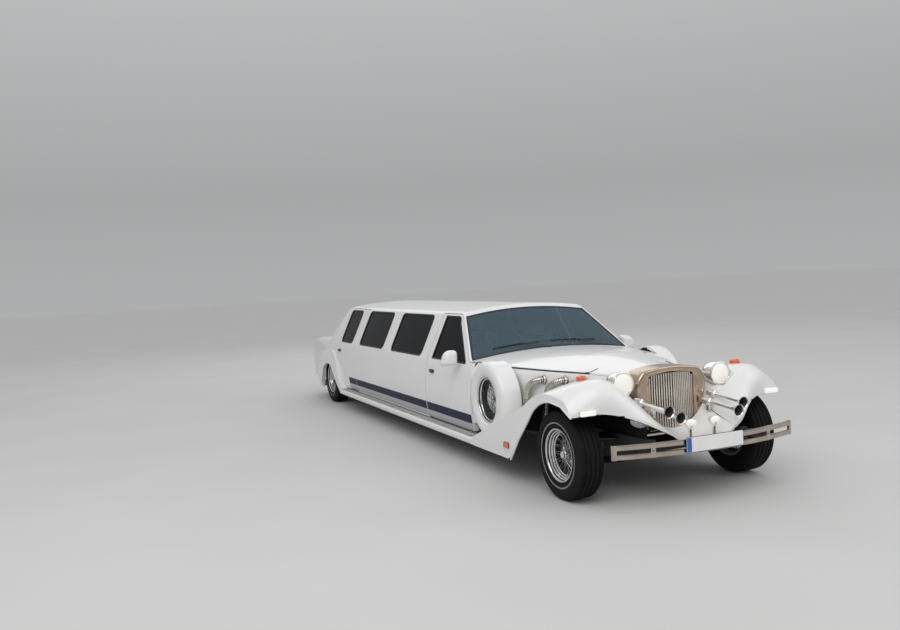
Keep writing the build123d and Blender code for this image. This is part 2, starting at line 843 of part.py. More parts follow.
def build_floor():
    """Floor with its side sills, stepped up over the rear axle, and the wall behind the lounge."""
    t = floor_thick
    low_rear = back(floor_step)
    front = back(front_door_front + 40)
    main = block(low_rear, front, -floor_half_width, floor_half_width, frame_top_z, frame_top_z + t)
    sills = block(low_rear, front, floor_half_width - 70, floor_half_width, board_top_z, frame_top_z)
    step = block(low_rear - t, low_rear, -floor_half_width, floor_half_width, frame_top_z,
                 rear_floor_z + t)
    rear = block(back(rail_rear - 60), low_rear, -rear_floor_half_width, rear_floor_half_width,
                 rear_floor_z, rear_floor_z + t)
    wall = block(back(rear_wall), back(rear_wall) + t, -rear_floor_half_width, rear_floor_half_width,
                 rear_floor_z + t, 900)
    return main.fuse(sills, other_side(sills), step, rear, wall)


def build_rear_axle():
    """Live axle: tubes, differential, brake drums and the stub shafts in the wheel hubs."""
    y = half_track
    case = [(-130, 0), (-130, 60), (-70, 122), (70, 122), (130, 60), (130, 0)]
    def place(p):
        return (rear_axle, p[0], axle_z + p[1])
    case = turned(case, place, (rear_axle, 0, axle_z), (0, 1, 0))
    pinion = tube((rear_axle, 0, axle_z), (rear_axle + 190, 0, axle_z), 44)
    shaft = tube((rear_axle, -y - spindle_reach, axle_z), (rear_axle, y + spindle_reach, axle_z),
                 spindle_radius)
    axle = tube((rear_axle, -700, axle_z), (rear_axle, 700, axle_z), 40)
    drums = [tube((rear_axle, s * 700, axle_z), (rear_axle, s * (y + hub_inner - 12), axle_z), 140)
             for s in (-1, 1)]
    return case.fuse(pinion, shaft, axle, *drums)


def build_rear_springs():
    """Leaf springs under the frame rails, clamped on the axle."""
    y = rail_half_spacing
    low = axle_z + 40 + seat_gap
    ends = kick_up_z - rail_depth - seat_gap
    steps = [
        (rear_axle - spring_half_length, ends - spring_leaf),
        ((rear_axle, low), (rear_axle + spring_half_length, ends - spring_leaf)),
        (rear_axle + spring_half_length, ends),
        ((rear_axle, low + spring_leaf), (rear_axle - spring_half_length, ends)),
    ]
    leaf = prism_y(steps, y - 32, y + 32)
    eyes = [tube((rear_axle + s * spring_half_length, y - 32, ends - 20),
                 (rear_axle + s * spring_half_length, y + 32, ends - 20), 20) for s in (-1, 1)]
    return both_sides(leaf.fuse(*eyes))


def build_propeller_shaft():
    straight_rear = wheelbase - 710
    one = tube((back(gearbox_rear), 0, shaft_z), (back(straight_rear), 0, shaft_z), shaft_radius)
    two = tube((back(straight_rear) + 10, 0, shaft_z), (rear_axle + 190, 0, axle_z), shaft_radius)
    joint = Pos(back(straight_rear), 0, shaft_z) * Sphere(44)
    member_low_z = frame_top_z - member_depth - member_drop
    carriers = [block(back(d) - 25, back(d) + 25, -60, 60, shaft_z - 45, member_low_z)
                for d in (lounge_members[0], lounge_members[2])]
    shaft = one.fuse(two, joint, *carriers)
    return shaft - block(rear_axle, rear_axle + 190 + seat_gap, -200, 200, 200, 500)


def build_engine():
    """Engine as one plain block with its gearbox behind."""
    engine = block(back(1420), back(480), -290, 290, 400, 880)
    engine = engine - block(back(1500), back(400), -300, -170, 390, 520)
    engine = engine - block(back(1500), back(400), 170, 300, 390, 520)
    housing = block(back(1620), back(1420), -200, 200, 215, 640)
    gearbox = block(back(gearbox_rear), back(1620), -130, 130, 215, 340)
    return engine.fuse(housing, gearbox)


def build_exhaust():
    """Exhaust pipe with two silencers along the right-hand rail."""
    y, z, r = -250, 232, 27
    points = [(back(1500), y, z), (back(rail_rear + 30), y, z)]
    pipe = tube(points[0], points[1], r)
    boxes = [tube((back(d), y, z + 4), (back(d + 620), y, z + 4), 62) for d in (2500, wheelbase + 490)]
    down = tube((back(1500), y, z), (back(1500), y, 400), r)
    hangers = [block(back(d) - 12, back(d) + 12, y - 10, y + 10, z,
                     rail_top_z(d) - member_depth - member_drop)
               for d in (front_members[3], lounge_members[1], rear_members[-1])]
    return pipe.fuse(*boxes, down, *hangers)


def wing_face(row):
    y, shoulder, rise, crest_x, crest_z, brow_x, brow_z, lip_x, lip_z = row
    def place(p):
        return (front_axle + p[0], y, p[1])
    steps = [
        (wing_tail_x, wing_low_z), (wing_tail_x, tail_low_z), (wing_shoulder_x, shoulder),
        ((wing_rise_x, rise), (crest_x, crest_z)), ((brow_x, brow_z), (lip_x, lip_z)),
        (lip_x, lip_z - wing_lip), (wing_well_x, wing_low_z),
    ]
    return outline(place, steps)


def wing_block():
    return loft([wing_face(row) for row in wing_stations])


def build_front_wings(solid):
    """Thin wings cut from their solids, with the wheel arch and the bonnet's sides taken out."""
    shell = solid - Pos(-panel, -panel, -panel) * solid
    arch = prism_y(shifted(arch_steps, front_axle), 600, 1200)
    wing = shell - arch - bonnet_block(0, 100)
    wing = wing - radiator_prism(seat_gap, back(600), front_axle + shell_front + seat_gap)
    wing = wing - lamp_zone(seat_gap)
    for zone in horn_zones():
        wing = wing - zone
    return largest(wing)


def nose_face(y, rear_z, brow_x, brow_z, lip_x, lip_z):
    def place(p):
        return (front_axle + p[0], y, p[1])
    return outline(place, [
        (nose_rear_x, 400), (nose_rear_x, rear_z), ((brow_x, brow_z), (lip_x, lip_z)),
        (lip_x, lip_z - wing_lip),
    ])


def build_nose():
    """Apron between the wings, dipping below the radiator."""
    rows = nose_stations + [(-r[0],) + r[1:] for r in reversed(nose_stations[:-1])]
    solid = loft([nose_face(*row) for row in rows])
    shell = solid - Pos(-panel, 0, -panel) * solid
    shell = shell - radiator_prism(seat_gap, back(600), front_axle + shell_front + seat_gap)
    shell = shell - prism_z(grille_plan(seat_gap), 400, 700)
    for zone in horn_zones():
        shell = shell - zone - other_side(zone)
    return largest(shell)


def radiator_steps(grow=0):
    g = grow
    left = [(296 + g, 470), (311 + g, 760), ((306 + g, 925), (262, 972 + g))]
    right = mirrored_steps(left)
    return left + [((0, radiator_top_z + g), right[0])] + right[1:]


def insert_steps(trim=0):
    left = [
        (grille_half_width - trim, grille_low_z), (215 - trim, 905 - trim),
        ((208 - trim, 926 - trim), (190, 932 - trim)),
    ]
    right = mirrored_steps(left)
    return left + [((0, 950 - trim), right[0])] + right[1:]


def radiator_prism(grow, x0, x1):
    return prism_x(radiator_steps(grow), x0, x1)


def build_radiator_shell():
    x1 = front_axle + shell_front
    x0 = x1 - shell_depth
    shell = radiator_prism(0, x0, x1) - prism_x(insert_steps(), x0 + 40, x1 + 5)
    front_rim = shell.faces().sort_by(Axis.X)[-1].outer_wire().edges()
    front_rim = [e for e in front_rim if e.center().Z > 560]
    return fillet(front_rim, 16)


def grille_plan(grow=0):
    """Vee outline of the bars' front edges, in plan."""
    x = front_axle + shell_front - grille_set_in + grow
    half = grille_half_width + grow
    return [(x - 60, -half), (x, -half), (x + grille_vee, 0), (x, half), (x - 60, half)]


def build_grille():
    """Upright bars in a shallow vee, joined by a rail at each end."""
    x1 = front_axle + shell_front - grille_set_in
    bars = []
    reach = grille_half_width - 10
    spacing = 2 * reach / (grille_bars - 1)
    for i in range(grille_bars):
        y = -reach + i * spacing
        nose = grille_vee * (1 - (abs(y) + bar_half_width) / grille_half_width)
        bars.append(block(x1 - 30 + nose, x1 + nose, y - bar_half_width, y + bar_half_width,
                          grille_low_z - 14, 960))
    rails = []
    for z in (grille_low_z - 14, 895):
        plan = [
            (x1 - 30, -grille_half_width), (x1 - 14, -grille_half_width), (x1 - 14 + grille_vee, 0),
            (x1 - 14, grille_half_width), (x1 - 30, grille_half_width), (x1 - 30 + grille_vee * 0.9, 0),
        ]
        rails.append(prism_z(plan, z, z + 14))
    comb = bars[0].fuse(*bars[1:], *rails)
    return comb & prism_x(insert_steps(seat_gap), x1 - 60, x1 + 100)


def lamp_place(p):
    return (front_axle + p[0], lamp_y, lamp_z + p[1])


def lamp_bowl(front, radius, grow=0):
    """Outline of a headlamp's bowl behind its rim, from the axis round to the axis."""
    rear = lamp_x - lamp_depth - grow
    return [
        (front, 0), (front, radius), (lamp_x - 60, lamp_radius - 4 + grow),
        ((lamp_x - 170, 60 + grow), (rear, 8 + grow)), (rear, 0),
    ]


def lamp_zone(grow):
    """Passage for a headlamp in the wing, close round its bowl."""
    steps = lamp_bowl(lamp_x + 60, lamp_radius + grow, grow)
    steps.insert(2, (lamp_x - 30, lamp_radius + grow))
    return turned(steps, lamp_place, lamp_place((0, 0)), (1, 0, 0))


def build_headlamps():
    seat = lamp_x - 6
    inner = lamp_radius - lamp_rim
    bowl = lamp_bowl(seat, lamp_radius)
    rim = [(seat, inner), (lamp_x + 4, inner + 2), (lamp_x + 1, lamp_radius - 1)]
    body = turned(bowl[:1] + rim + bowl[1:], lamp_place, lamp_place((0, 0)), (1, 0, 0))
    lens = turned([
        (seat + seat_gap, 0), (seat + seat_gap, inner - seat_gap),
        ((lamp_x + 13, 52), (lamp_x + 22, 4)), (lamp_x + 22, 0),
    ], lamp_place, lamp_place((0, 0)), (1, 0, 0))
    return body, lens


def build_turn_lamps(solid):
    """Bullet lamps on top of the wings."""
    y, z, x0, x1, r = 754, 952, 38, 145, 29
    def place(p):
        return (front_axle + p[0], y, z + p[1])
    lamp = turned([(x0, 0), (x0, 3), ((x0 + 22, 22), (x0 + 60, r)), (x1 - 10, r), (x1, r - 6), (x1, 0)],
                  place, place((0, 0)), (1, 0, 0))
    foot = block(front_axle + x0 + 25, front_axle + x1 - 15, y - 12, y + 12, z - 60, z - 10)
    return (lamp + foot) - solid


def build_position_lamps(solid):
    """Small lamps on the front lips of the wings."""
    lamp = block(front_axle + 330, front_axle + 392, 815, 930, 708, 748)
    return largest(fillet(lamp.edges().filter_by(Axis.Z), 10) - solid)


def build_fog_lamps(apron):
    """Two small lamps on posts above the apron."""
    x, y, z, r = 617, 113, 600, 36
    def place(p):
        return (front_axle + p[0], y, z + p[1])
    lamp = turned([(x - 60, 0), (x - 60, 3), ((x - 48, 24), (x - 18, r)), (x, r), (x + 8, r - 8), (x + 8, 0)],
                  place, place((0, 0)), (1, 0, 0))
    post = tube((front_axle + x - 28, y, 480), (front_axle + x - 28, y, z), 9)
    return (lamp + post) - apron


def horn_zones():
    """Round clearances for the horns' bodies in the wings and the apron."""
    zones = []
    for tx, ty, tz, mx, my, mz in horn_rows:
        start = Vector(front_axle + tx, ty, tz)
        run = (Vector(mx - tx, my - ty, mz - tz)).normalized()
        zones.append(tube(tuple(start - run * 40), tuple(start + run * 86), horn_body_radius + seat_gap))
    return zones


def build_horns():
    """Four trumpet horns, two a side beside the radiator."""
    horns = []
    for tx, ty, tz, mx, my, mz in horn_rows:
        run = Vector(mx - tx, my - ty, mz - tz)
        length = run.length
        place = Plane(origin=(front_axle + tx, ty, tz), z_dir=run, x_dir=(0, 1, 0))
        steps = [
            (0, 0), (horn_body_radius, 0), (horn_body_radius, 70), (11, 84), (16, length - 110),
            (21, length - 58), (31, length - 22), (46, length), (38, length), (24, length - 26),
            (10, length - 56), (0, length - 70),
        ]
        horns.append(place * turned(steps, upright, (0, 0, 0), (0, 0, 1)))
    return horns


# Bumpers
def bumper_bar(x, z, direction):
    """One bowed bar; direction is 1 at the front and -1 at the rear."""
    b, s, t = bumper_half_width, bumper_sweep, bumper_thick
    plan = [
        (x - direction * s, -b), ((x, 0), (x - direction * s, b)),
        (x - direction * (s + t), b), ((x - direction * t, 0), (x - direction * (s + t), -b)),
    ]
    return prism_z(plan, z, z + bumper_bar_height)


def build_bumper(x, direction, frame_x, low_z):
    """Twin bars with end straps, brackets and arms to the frame rails."""
    high = low_z + bumper_bar_height + bumper_bar_gap
    pieces = [bumper_bar(x, high, direction)]
    for side in (-1, 1):
        for y, sag in ((bumper_half_width - 14, 1), (535, (535 / bumper_half_width) ** 2)):
            rear = x - direction * (bumper_sweep * sag + bumper_thick)
            pieces.append(block(rear - direction * 8, rear + direction * 3, side * (y - 13),
                                side * (y + 13), low_z + 4, high + bumper_bar_height - 4))
        inner = x - direction * (bumper_sweep * (535 / bumper_half_width) ** 2 + bumper_thick)
        plan = [
            (frame_x, side * (rail_half_spacing - 20)), (inner, side * 520), (inner, side * 550),
            (frame_x, side * (rail_half_spacing + 20)),
        ]
        pieces.append(prism_z(plan, low_z + 20, low_z + 80))
    return bumper_bar(x, low_z, direction).fuse(*pieces)


def rear_arm_passages():
    """Slots in the tail for the rear bumper's arms."""
    slot = block(rear_end, back(rail_rear - 60), 400, 580, bumper_low_z + 16, bumper_low_z + 84)
    return slot + other_side(slot)


# Side-mounted spare wheels
def spare_place(p):
    return (back(spare_back) + p[1], p[0], spare_z)


def build_spare_covers(solid):
    """Round cover open in the middle, standing in a well of the wing against the bonnet side."""
    y1 = spare_face
    y0 = y1 - spare_depth
    r, o = spare_radius, rim_flange_radius + seat_gap
    ring = turned([
        (y0, r - 30), (y0, r - 4), (y1 - 60, r), (y1 - 24, r - 9), (y1 - 5, r - 32), (y1, r - 62),
        (y1 - 4, o + 14), (y1 - 20, o), (y1 - 32, o), (y1 - 32, o + 10), (y1 - 14, o + 24),
        (y1 - 12, r - 70), (y1 - 26, r - 32), (y1 - 66, r - 12), (y0 + 14, r - 16), (y0 + 14, r - 30),
    ], spare_place, spare_place((0, 0)), (0, 1, 0))
    return largest(ring - solid - bonnet_block(0, 100) - prism_z(bonnet_lid_steps(edge_gap), 900, 1200))


def build_spare_wheels(rim, solid):
    rim = Pos(back(spare_back), spare_face - spare_set_in, spare_z) * rim
    return largest(rim - solid - bonnet_block(0, 100))


# Running boards and rear wings
def build_running_boards():
    y1 = board_half_width
    steps = [
        (floor_half_width, board_bottom_z + 40), (y1 - 60, board_bottom_z), (y1 - 14, board_bottom_z),
        ((y1 - 2, board_bottom_z + 12), (y1, board_bottom_z + 30)),
        ((y1 - 4, board_top_z - 12), (y1 - 26, board_top_z)),
        (floor_half_width, board_top_z),
    ]
    return both_sides(prism_x(steps, back(board_rear), front_axle + wing_tail_x))


def rear_wing_outline():
    a = rear_axle
    return [
        (a + 800, board_bottom_z), (a + 800, board_top_z + 2), (a + 700, 400),
        ((a + 545, 640), (a + 250, 800)), ((a - 130, 806), (a - 380, 613)),
        ((a - 455, 460), (a - 480, 262)), (a - 480, board_bottom_z),
    ]


def rear_arch_outline():
    a = rear_axle
    return [
        (a + 690, 100), (a + 680, 250), (a + 450, 448), ((a + 160, 606), (a - 180, 500)),
        (a - 318, 274), (a - 330, 100),
    ]


def build_rear_wings(body_solid):
    """Bulging rear wings over the upper part of the wheels."""
    side = prism_y(rear_wing_outline(), 850, 1100)
    section = [
        (850, 100), (985, 100), (rear_wing_outer + 4, 330),
        ((rear_wing_outer + 6, 560), (960, 800)), (850, 830),
    ]
    bulge = side & prism_x(section, rear_axle - 600, rear_axle + 1000)
    wing = bulge - body_solid - prism_x(cabin_steps(), rear_axle - 600, rear_axle + 1000)
    wing = wing - wheel_zone(wheel_house_radius, 800, half_track + tyre_width / 2 + 12)
    wing = wing - prism_y(rear_arch_outline(), 800, 1200)
    wing = wing - left_of(rear_door_steps(edge_gap))
    wing = wing - block(rear_axle - 700, rear_axle + 1200, 0, 868, 0, 1000)
    return largest(wing)


def build_side_pipes(solid):
    """Three bright pipes out of the bonnet side, bent back and down into the wing."""
    pipes = []
    for distance, wall in ((690, 640), (491, 546), (326, 454)):
        points = [
            (back(distance), wall - 16, 866), (back(distance + 30), wall + 78, 866),
            (back(distance + 140), wall + 108, 790), (back(distance + 185), wall + 112, 470),
        ]
        path = FilletPolyline(*points, radius=pipe_bend)
        section = Plane(origin=path @ 0, z_dir=path % 0) * Circle(pipe_radius)
        pipes.append(sweep(section, path))
    body = bonnet_block(0, 300)
    return group(*[largest(pipe - body - solid) for pipe in pipes])


def build_mirror():
    """Left door mirror on its foot at the belt line."""
    x = back(1893)
    y = belt_half_width + 34
    head = block(x - 45, x + 50, y, y + 160, 928, 1078)
    head = fillet(head.edges().filter_by(Axis.X), 40)
    head = fillet(head.faces().sort_by(Axis.X)[-1].edges(), 22)
    foot = block(x - 20, x + 22, y - 72, y + 13, 932, 946)
    return (head + foot) - prism_x(cabin_steps(), x - 100, x + 100)


def build_tail_lamps():
    """Round lamps, two a side, on the tail."""
    x, y, r = rear_end + tail_step_back, 672, 50
    lamps = []
    for z in (600, 728):
        def place(p):
            return (x + p[0], y, z + p[1])
        steps = [(-2, 0), (-2, r - 9), (1, r - 3), (8, r), (120, r), (120, 0)]
        lamps.append(largest(turned(steps, place, place((0, 0)), (1, 0, 0)) - tail_block()))
    return group(*lamps)


def build_front_seats():
    """Two plain seat solids, one a side."""
    steps = [
        (back(2600), frame_top_z + floor_thick), (back(2140), frame_top_z + floor_thick),
        (back(2110), 530), ((back(2092), 590), (back(2140), 622)), (back(2530), 600),
        (back(2650), 1150), ((back(2700), 1200), (back(2770), 1170)), (back(2700), 560),
    ]
    return both_sides(prism_y(steps, 140, 660))


def build_lounge_seats():
    """Rear bench on the floor's step and a side bench along the left wall."""
    z = rear_floor_z + floor_thick
    toe = rear_axle + 860
    rear = prism_y([
        (toe - 10, z), (toe, 740), ((toe - 10, 785), (toe - 55, 792)), (toe - 440, 766),
        (toe - 560, 1080), ((toe - 600, 1120), (toe - 655, 1092)), (toe - 700, z),
    ], -650, 650)
    z = frame_top_z + floor_thick
    side = prism_x([
        (330, z), (310, 640), ((312, 690), (350, 706)), (650, 690), (690, 1060), ((730, 1096), (776, 1060)),
        (800, z),
    ], back(rear_door_front - 200), back(front_door_rear + 470))
    return group(rear, side)


def build_cabin_fittings():
    """Dashboard with steering wheel, partition behind the front seats and the bar cabinet."""
    dash = prism_y([
        (back(1660), 640), (back(1660), 920), (back(1740), 950), (back(1960), 958),
        ((back(2040), 930), (back(2050), 860)), (back(2010), 740), (back(1900), 640),
    ], 92 - belt_half_width, belt_half_width - 92)
    centre, normal = Vector(back(2190), 400, 900), Vector(-0.9, 0, 0.43)
    face = Plane(origin=centre, z_dir=normal, x_dir=(0, 1, 0))
    rim = [(188 + 15 * cos(a * pi / 4), 15 * sin(a * pi / 4)) for a in range(8)]
    ring = face * turned(rim, upright, (0, 0, 0), (0, 0, 1))
    hub = face * Pos(0, 0, -10) * Cylinder(45, 30)
    spokes = [face * Rot(0, 0, a) * Pos(105, 0, -6) * Box(170, 28, 10) for a in (0, 180, 270)]
    column = tube(tuple(centre), tuple(centre - normal.normalized() * 180), 24)
    wheel = ring.fuse(hub, *spokes, column) - dash
    z = frame_top_z + floor_thick
    half = belt_half_width - 118
    wall = block(back(front_door_rear + 80), back(front_door_rear + 60), -half, half, z, 940)
    cabinet = block(back(rear_door_front - 400), back(front_door_rear + 520), -half, 330 - half, z, 850)
    cabinet = fillet(cabinet.edges().filter_by(Axis.X).sort_by(Axis.Z)[-2:-1], 40)
    shelf_x = back(rear_wall) + floor_thick + seat_gap
    shelf = block(shelf_x, shelf_x + 165, 20 - half, half - 20, 872, 888)
    return group(dash, largest(wheel), wall, cabinet, shelf)


def build_wheel_houses():
    """Half-round housings over the rear wheels."""
    r, t = wheel_house_radius - seat_gap, wheel_house_wall
    y0, y1 = rear_floor_half_width + seat_gap, 930
    outer = wheel_zone(r, y0, y1)
    inner = wheel_zone(r - t, y0 + t, y1 + 10)
    arch = outer - inner
    return arch & block(rear_axle - 500, rear_axle + 500, 0, 1200, axle_z + axle_travel, 1000)


parts = {}
roof = build_roof()
wing_solid = wing_block()
wings = build_front_wings(wing_solid)
apron = build_nose()
tail_solid = tail_block()
front_bumper = build_bumper(front_end, 1, front_axle + rail_front, bumper_low_z)
rear_bumper = build_bumper(rear_end, -1, back(rail_rear), bumper_low_z)
lid, bonnet = build_bonnet()
body, boot = build_rear_body()
sides, panes = build_side_panels()
windscreen, rear_window = build_screens()
for name, shape in build_doors().items():
    parts[name + "_left"] = shape
    parts[name + "_right"] = other_side(shape)
mirror_left = build_mirror()
parts["mirror_left"] = mirror_left
parts["mirror_right"] = other_side(mirror_left)
tyre, rim = build_tyre(), build_rim()
for name, x, side in wheel_names:
    parts["tyre_" + name] = wheel_place(x, side) * tyre
    parts["wire_wheel_" + name] = wheel_place(x, side) * rim
knuckle = build_knuckle()
parts["knuckle_left"] = knuckle
parts["knuckle_right"] = other_side(knuckle)
beam, arm = build_front_suspension()
parts["front_suspension"] = group(beam, both_sides(arm))
parts["bonnet_lid"] = lid
parts["boot_lid"] = boot
parts["roof"] = roof
parts["side_panels"] = sides
parts["windscreen"] = windscreen
parts["lounge_windows"] = group(panes, rear_window)
parts["scuttle"] = build_cowl()
parts["bonnet_sides"] = bonnet
parts["rear_body"] = body - rear_arm_passages()
parts["front_wings"] = wings.fuse(other_side(wings), apron)
parts["rear_wings"] = both_sides(build_rear_wings(tail_solid))
parts["running_boards"] = build_running_boards()
parts["spare_covers"] = both_sides(build_spare_covers(wing_solid))
parts["spare_wheels"] = both_sides(build_spare_wheels(rim, wing_solid))
parts["radiator"] = group(build_radiator_shell(), build_grille())
lamp, lens = build_headlamps()
parts["headlamps"] = both_sides(lamp)
parts["headlamp_lenses"] = both_sides(lens)
parts["small_lamps"] = group(*[both_sides(s) for s in (
    build_turn_lamps(wing_solid), build_position_lamps(wing_solid), build_fog_lamps(apron))])
parts["tail_lamps"] = both_sides(build_tail_lamps())
parts["horns"] = both_sides(Compound(children=build_horns()))
parts["side_pipes"] = both_sides(build_side_pipes(wing_solid))
parts["front_bumper"] = front_bumper
parts["rear_bumper"] = rear_bumper
parts["front_frame"], parts["chassis_frame"], parts["rear_frame"] = build_chassis_frame()
parts["floor_pan"] = build_floor()
parts["wheel_houses"] = both_sides(build_wheel_houses())
parts["rear_axle"] = group(build_rear_axle(), build_rear_springs())
parts["propeller_shaft"] = build_propeller_shaft()
parts["engine"] = build_engine()
parts["exhaust"] = build_exhaust()
parts["front_seats"] = build_front_seats()
parts["lounge_seats"] = build_lounge_seats()
parts["cabin_fittings"] = build_cabin_fittings()

os.makedirs("parts", exist_ok=True)
for name, shape in parts.items():
    save(name, shape)
print(len(parts), "nodes")
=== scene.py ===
import json
from math import atan2, cos, hypot, pi, radians, sin

import bmesh
import bpy
import numpy as np
from mathutils import Matrix, Vector
from mathutils.bvhtree import BVHTree


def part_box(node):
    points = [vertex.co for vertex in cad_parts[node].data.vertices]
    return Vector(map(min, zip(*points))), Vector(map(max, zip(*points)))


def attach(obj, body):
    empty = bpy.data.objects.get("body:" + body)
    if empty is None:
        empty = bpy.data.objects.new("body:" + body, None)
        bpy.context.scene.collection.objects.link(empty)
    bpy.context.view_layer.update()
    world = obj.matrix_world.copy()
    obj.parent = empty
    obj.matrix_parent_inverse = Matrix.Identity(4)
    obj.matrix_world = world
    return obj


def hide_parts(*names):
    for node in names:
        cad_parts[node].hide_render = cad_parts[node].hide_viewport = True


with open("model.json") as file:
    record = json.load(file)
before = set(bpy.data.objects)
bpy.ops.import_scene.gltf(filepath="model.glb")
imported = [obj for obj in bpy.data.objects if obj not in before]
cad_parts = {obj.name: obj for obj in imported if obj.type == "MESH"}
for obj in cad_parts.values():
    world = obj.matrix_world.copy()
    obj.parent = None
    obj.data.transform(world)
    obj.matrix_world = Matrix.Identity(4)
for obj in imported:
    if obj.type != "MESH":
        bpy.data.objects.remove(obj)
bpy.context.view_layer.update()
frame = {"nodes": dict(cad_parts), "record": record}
nodeBody = {node: body for body, nodes in frame["record"]["behaviour"]["bodies"].items() for node in nodes}
nodeSlot = {row["node"]: row["material_slot"] for row in frame["record"]["subparts"]}


def middle(node):
    low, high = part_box(node)
    return (low + high) / 2


# Places that everything else is worked out from
wheelCentre = {name[5:]: middle(name) for name in frame["nodes"] if name.startswith("tyre_")}
frontX = wheelCentre["front_left"].x
rearX = wheelCentre["rear_left"].x


def fromAxle(x):
    # X of a place given ahead of the front axle, behind it where negative
    return frontX + x


def fromFront(rows):
    # Points whose X is given ahead of the front axle
    return np.array(rows, float) + np.array([frontX, 0.0, 0.0])


def material(name, colour, rough=0.4, metal=0.0, coat=0.0, vary=0.06, grain=6.0, bump=0.0, bumpSize=60.0,
             roughVary=0.08, **sockets):
    # Colour drifts by vary over patches of size 1/grain; bump stands up by its own finer noise
    mat = bpy.data.materials.new(name)
    mat.use_nodes = True
    tree = mat.node_tree
    nodes, link = tree.nodes, tree.links.new
    shader = nodes["Principled BSDF"]
    place = nodes.new("ShaderNodeTexCoord")
    patches = nodes.new("ShaderNodeTexNoise")
    patches.inputs["Scale"].default_value = grain
    patches.inputs["Detail"].default_value = 4.0
    link(place.outputs["Object"], patches.inputs["Vector"])
    tint = nodes.new("ShaderNodeValToRGB")
    dark = [c * (1 - vary) for c in colour[:3]]
    light = [min(1.0, c * (1 + vary)) for c in colour[:3]]
    tint.color_ramp.elements[0].position = 0.35
    tint.color_ramp.elements[0].color = (*dark, 1)
    tint.color_ramp.elements[1].position = 0.65
    tint.color_ramp.elements[1].color = (*light, 1)
    link(patches.outputs["Fac"], tint.inputs["Fac"])
    link(tint.outputs["Color"], shader.inputs["Base Color"])
    spread = nodes.new("ShaderNodeMapRange")
    spread.inputs["To Min"].default_value = max(0.0, rough - roughVary)
    spread.inputs["To Max"].default_value = min(1.0, rough + roughVary)
    link(patches.outputs["Fac"], spread.inputs["Value"])
    link(spread.outputs["Result"], shader.inputs["Roughness"])
    if bump:
        fine = nodes.new("ShaderNodeTexNoise")
        fine.inputs["Scale"].default_value = bumpSize
        fine.inputs["Detail"].default_value = 3.0
        link(place.outputs["Object"], fine.inputs["Vector"])
        relief = nodes.new("ShaderNodeBump")
        relief.inputs["Strength"].default_value = bump
        relief.inputs["Distance"].default_value = 0.002
        link(fine.outputs["Fac"], relief.inputs["Height"])
        link(relief.outputs["Normal"], shader.inputs["Normal"])
    shader.inputs["Metallic"].default_value = metal
    shader.inputs["Coat Weight"].default_value = coat
    shader.inputs["Coat Roughness"].default_value = 0.04
    for key, value in sockets.items():
        shader.inputs[key.replace("_", " ")].default_value = value
    return mat


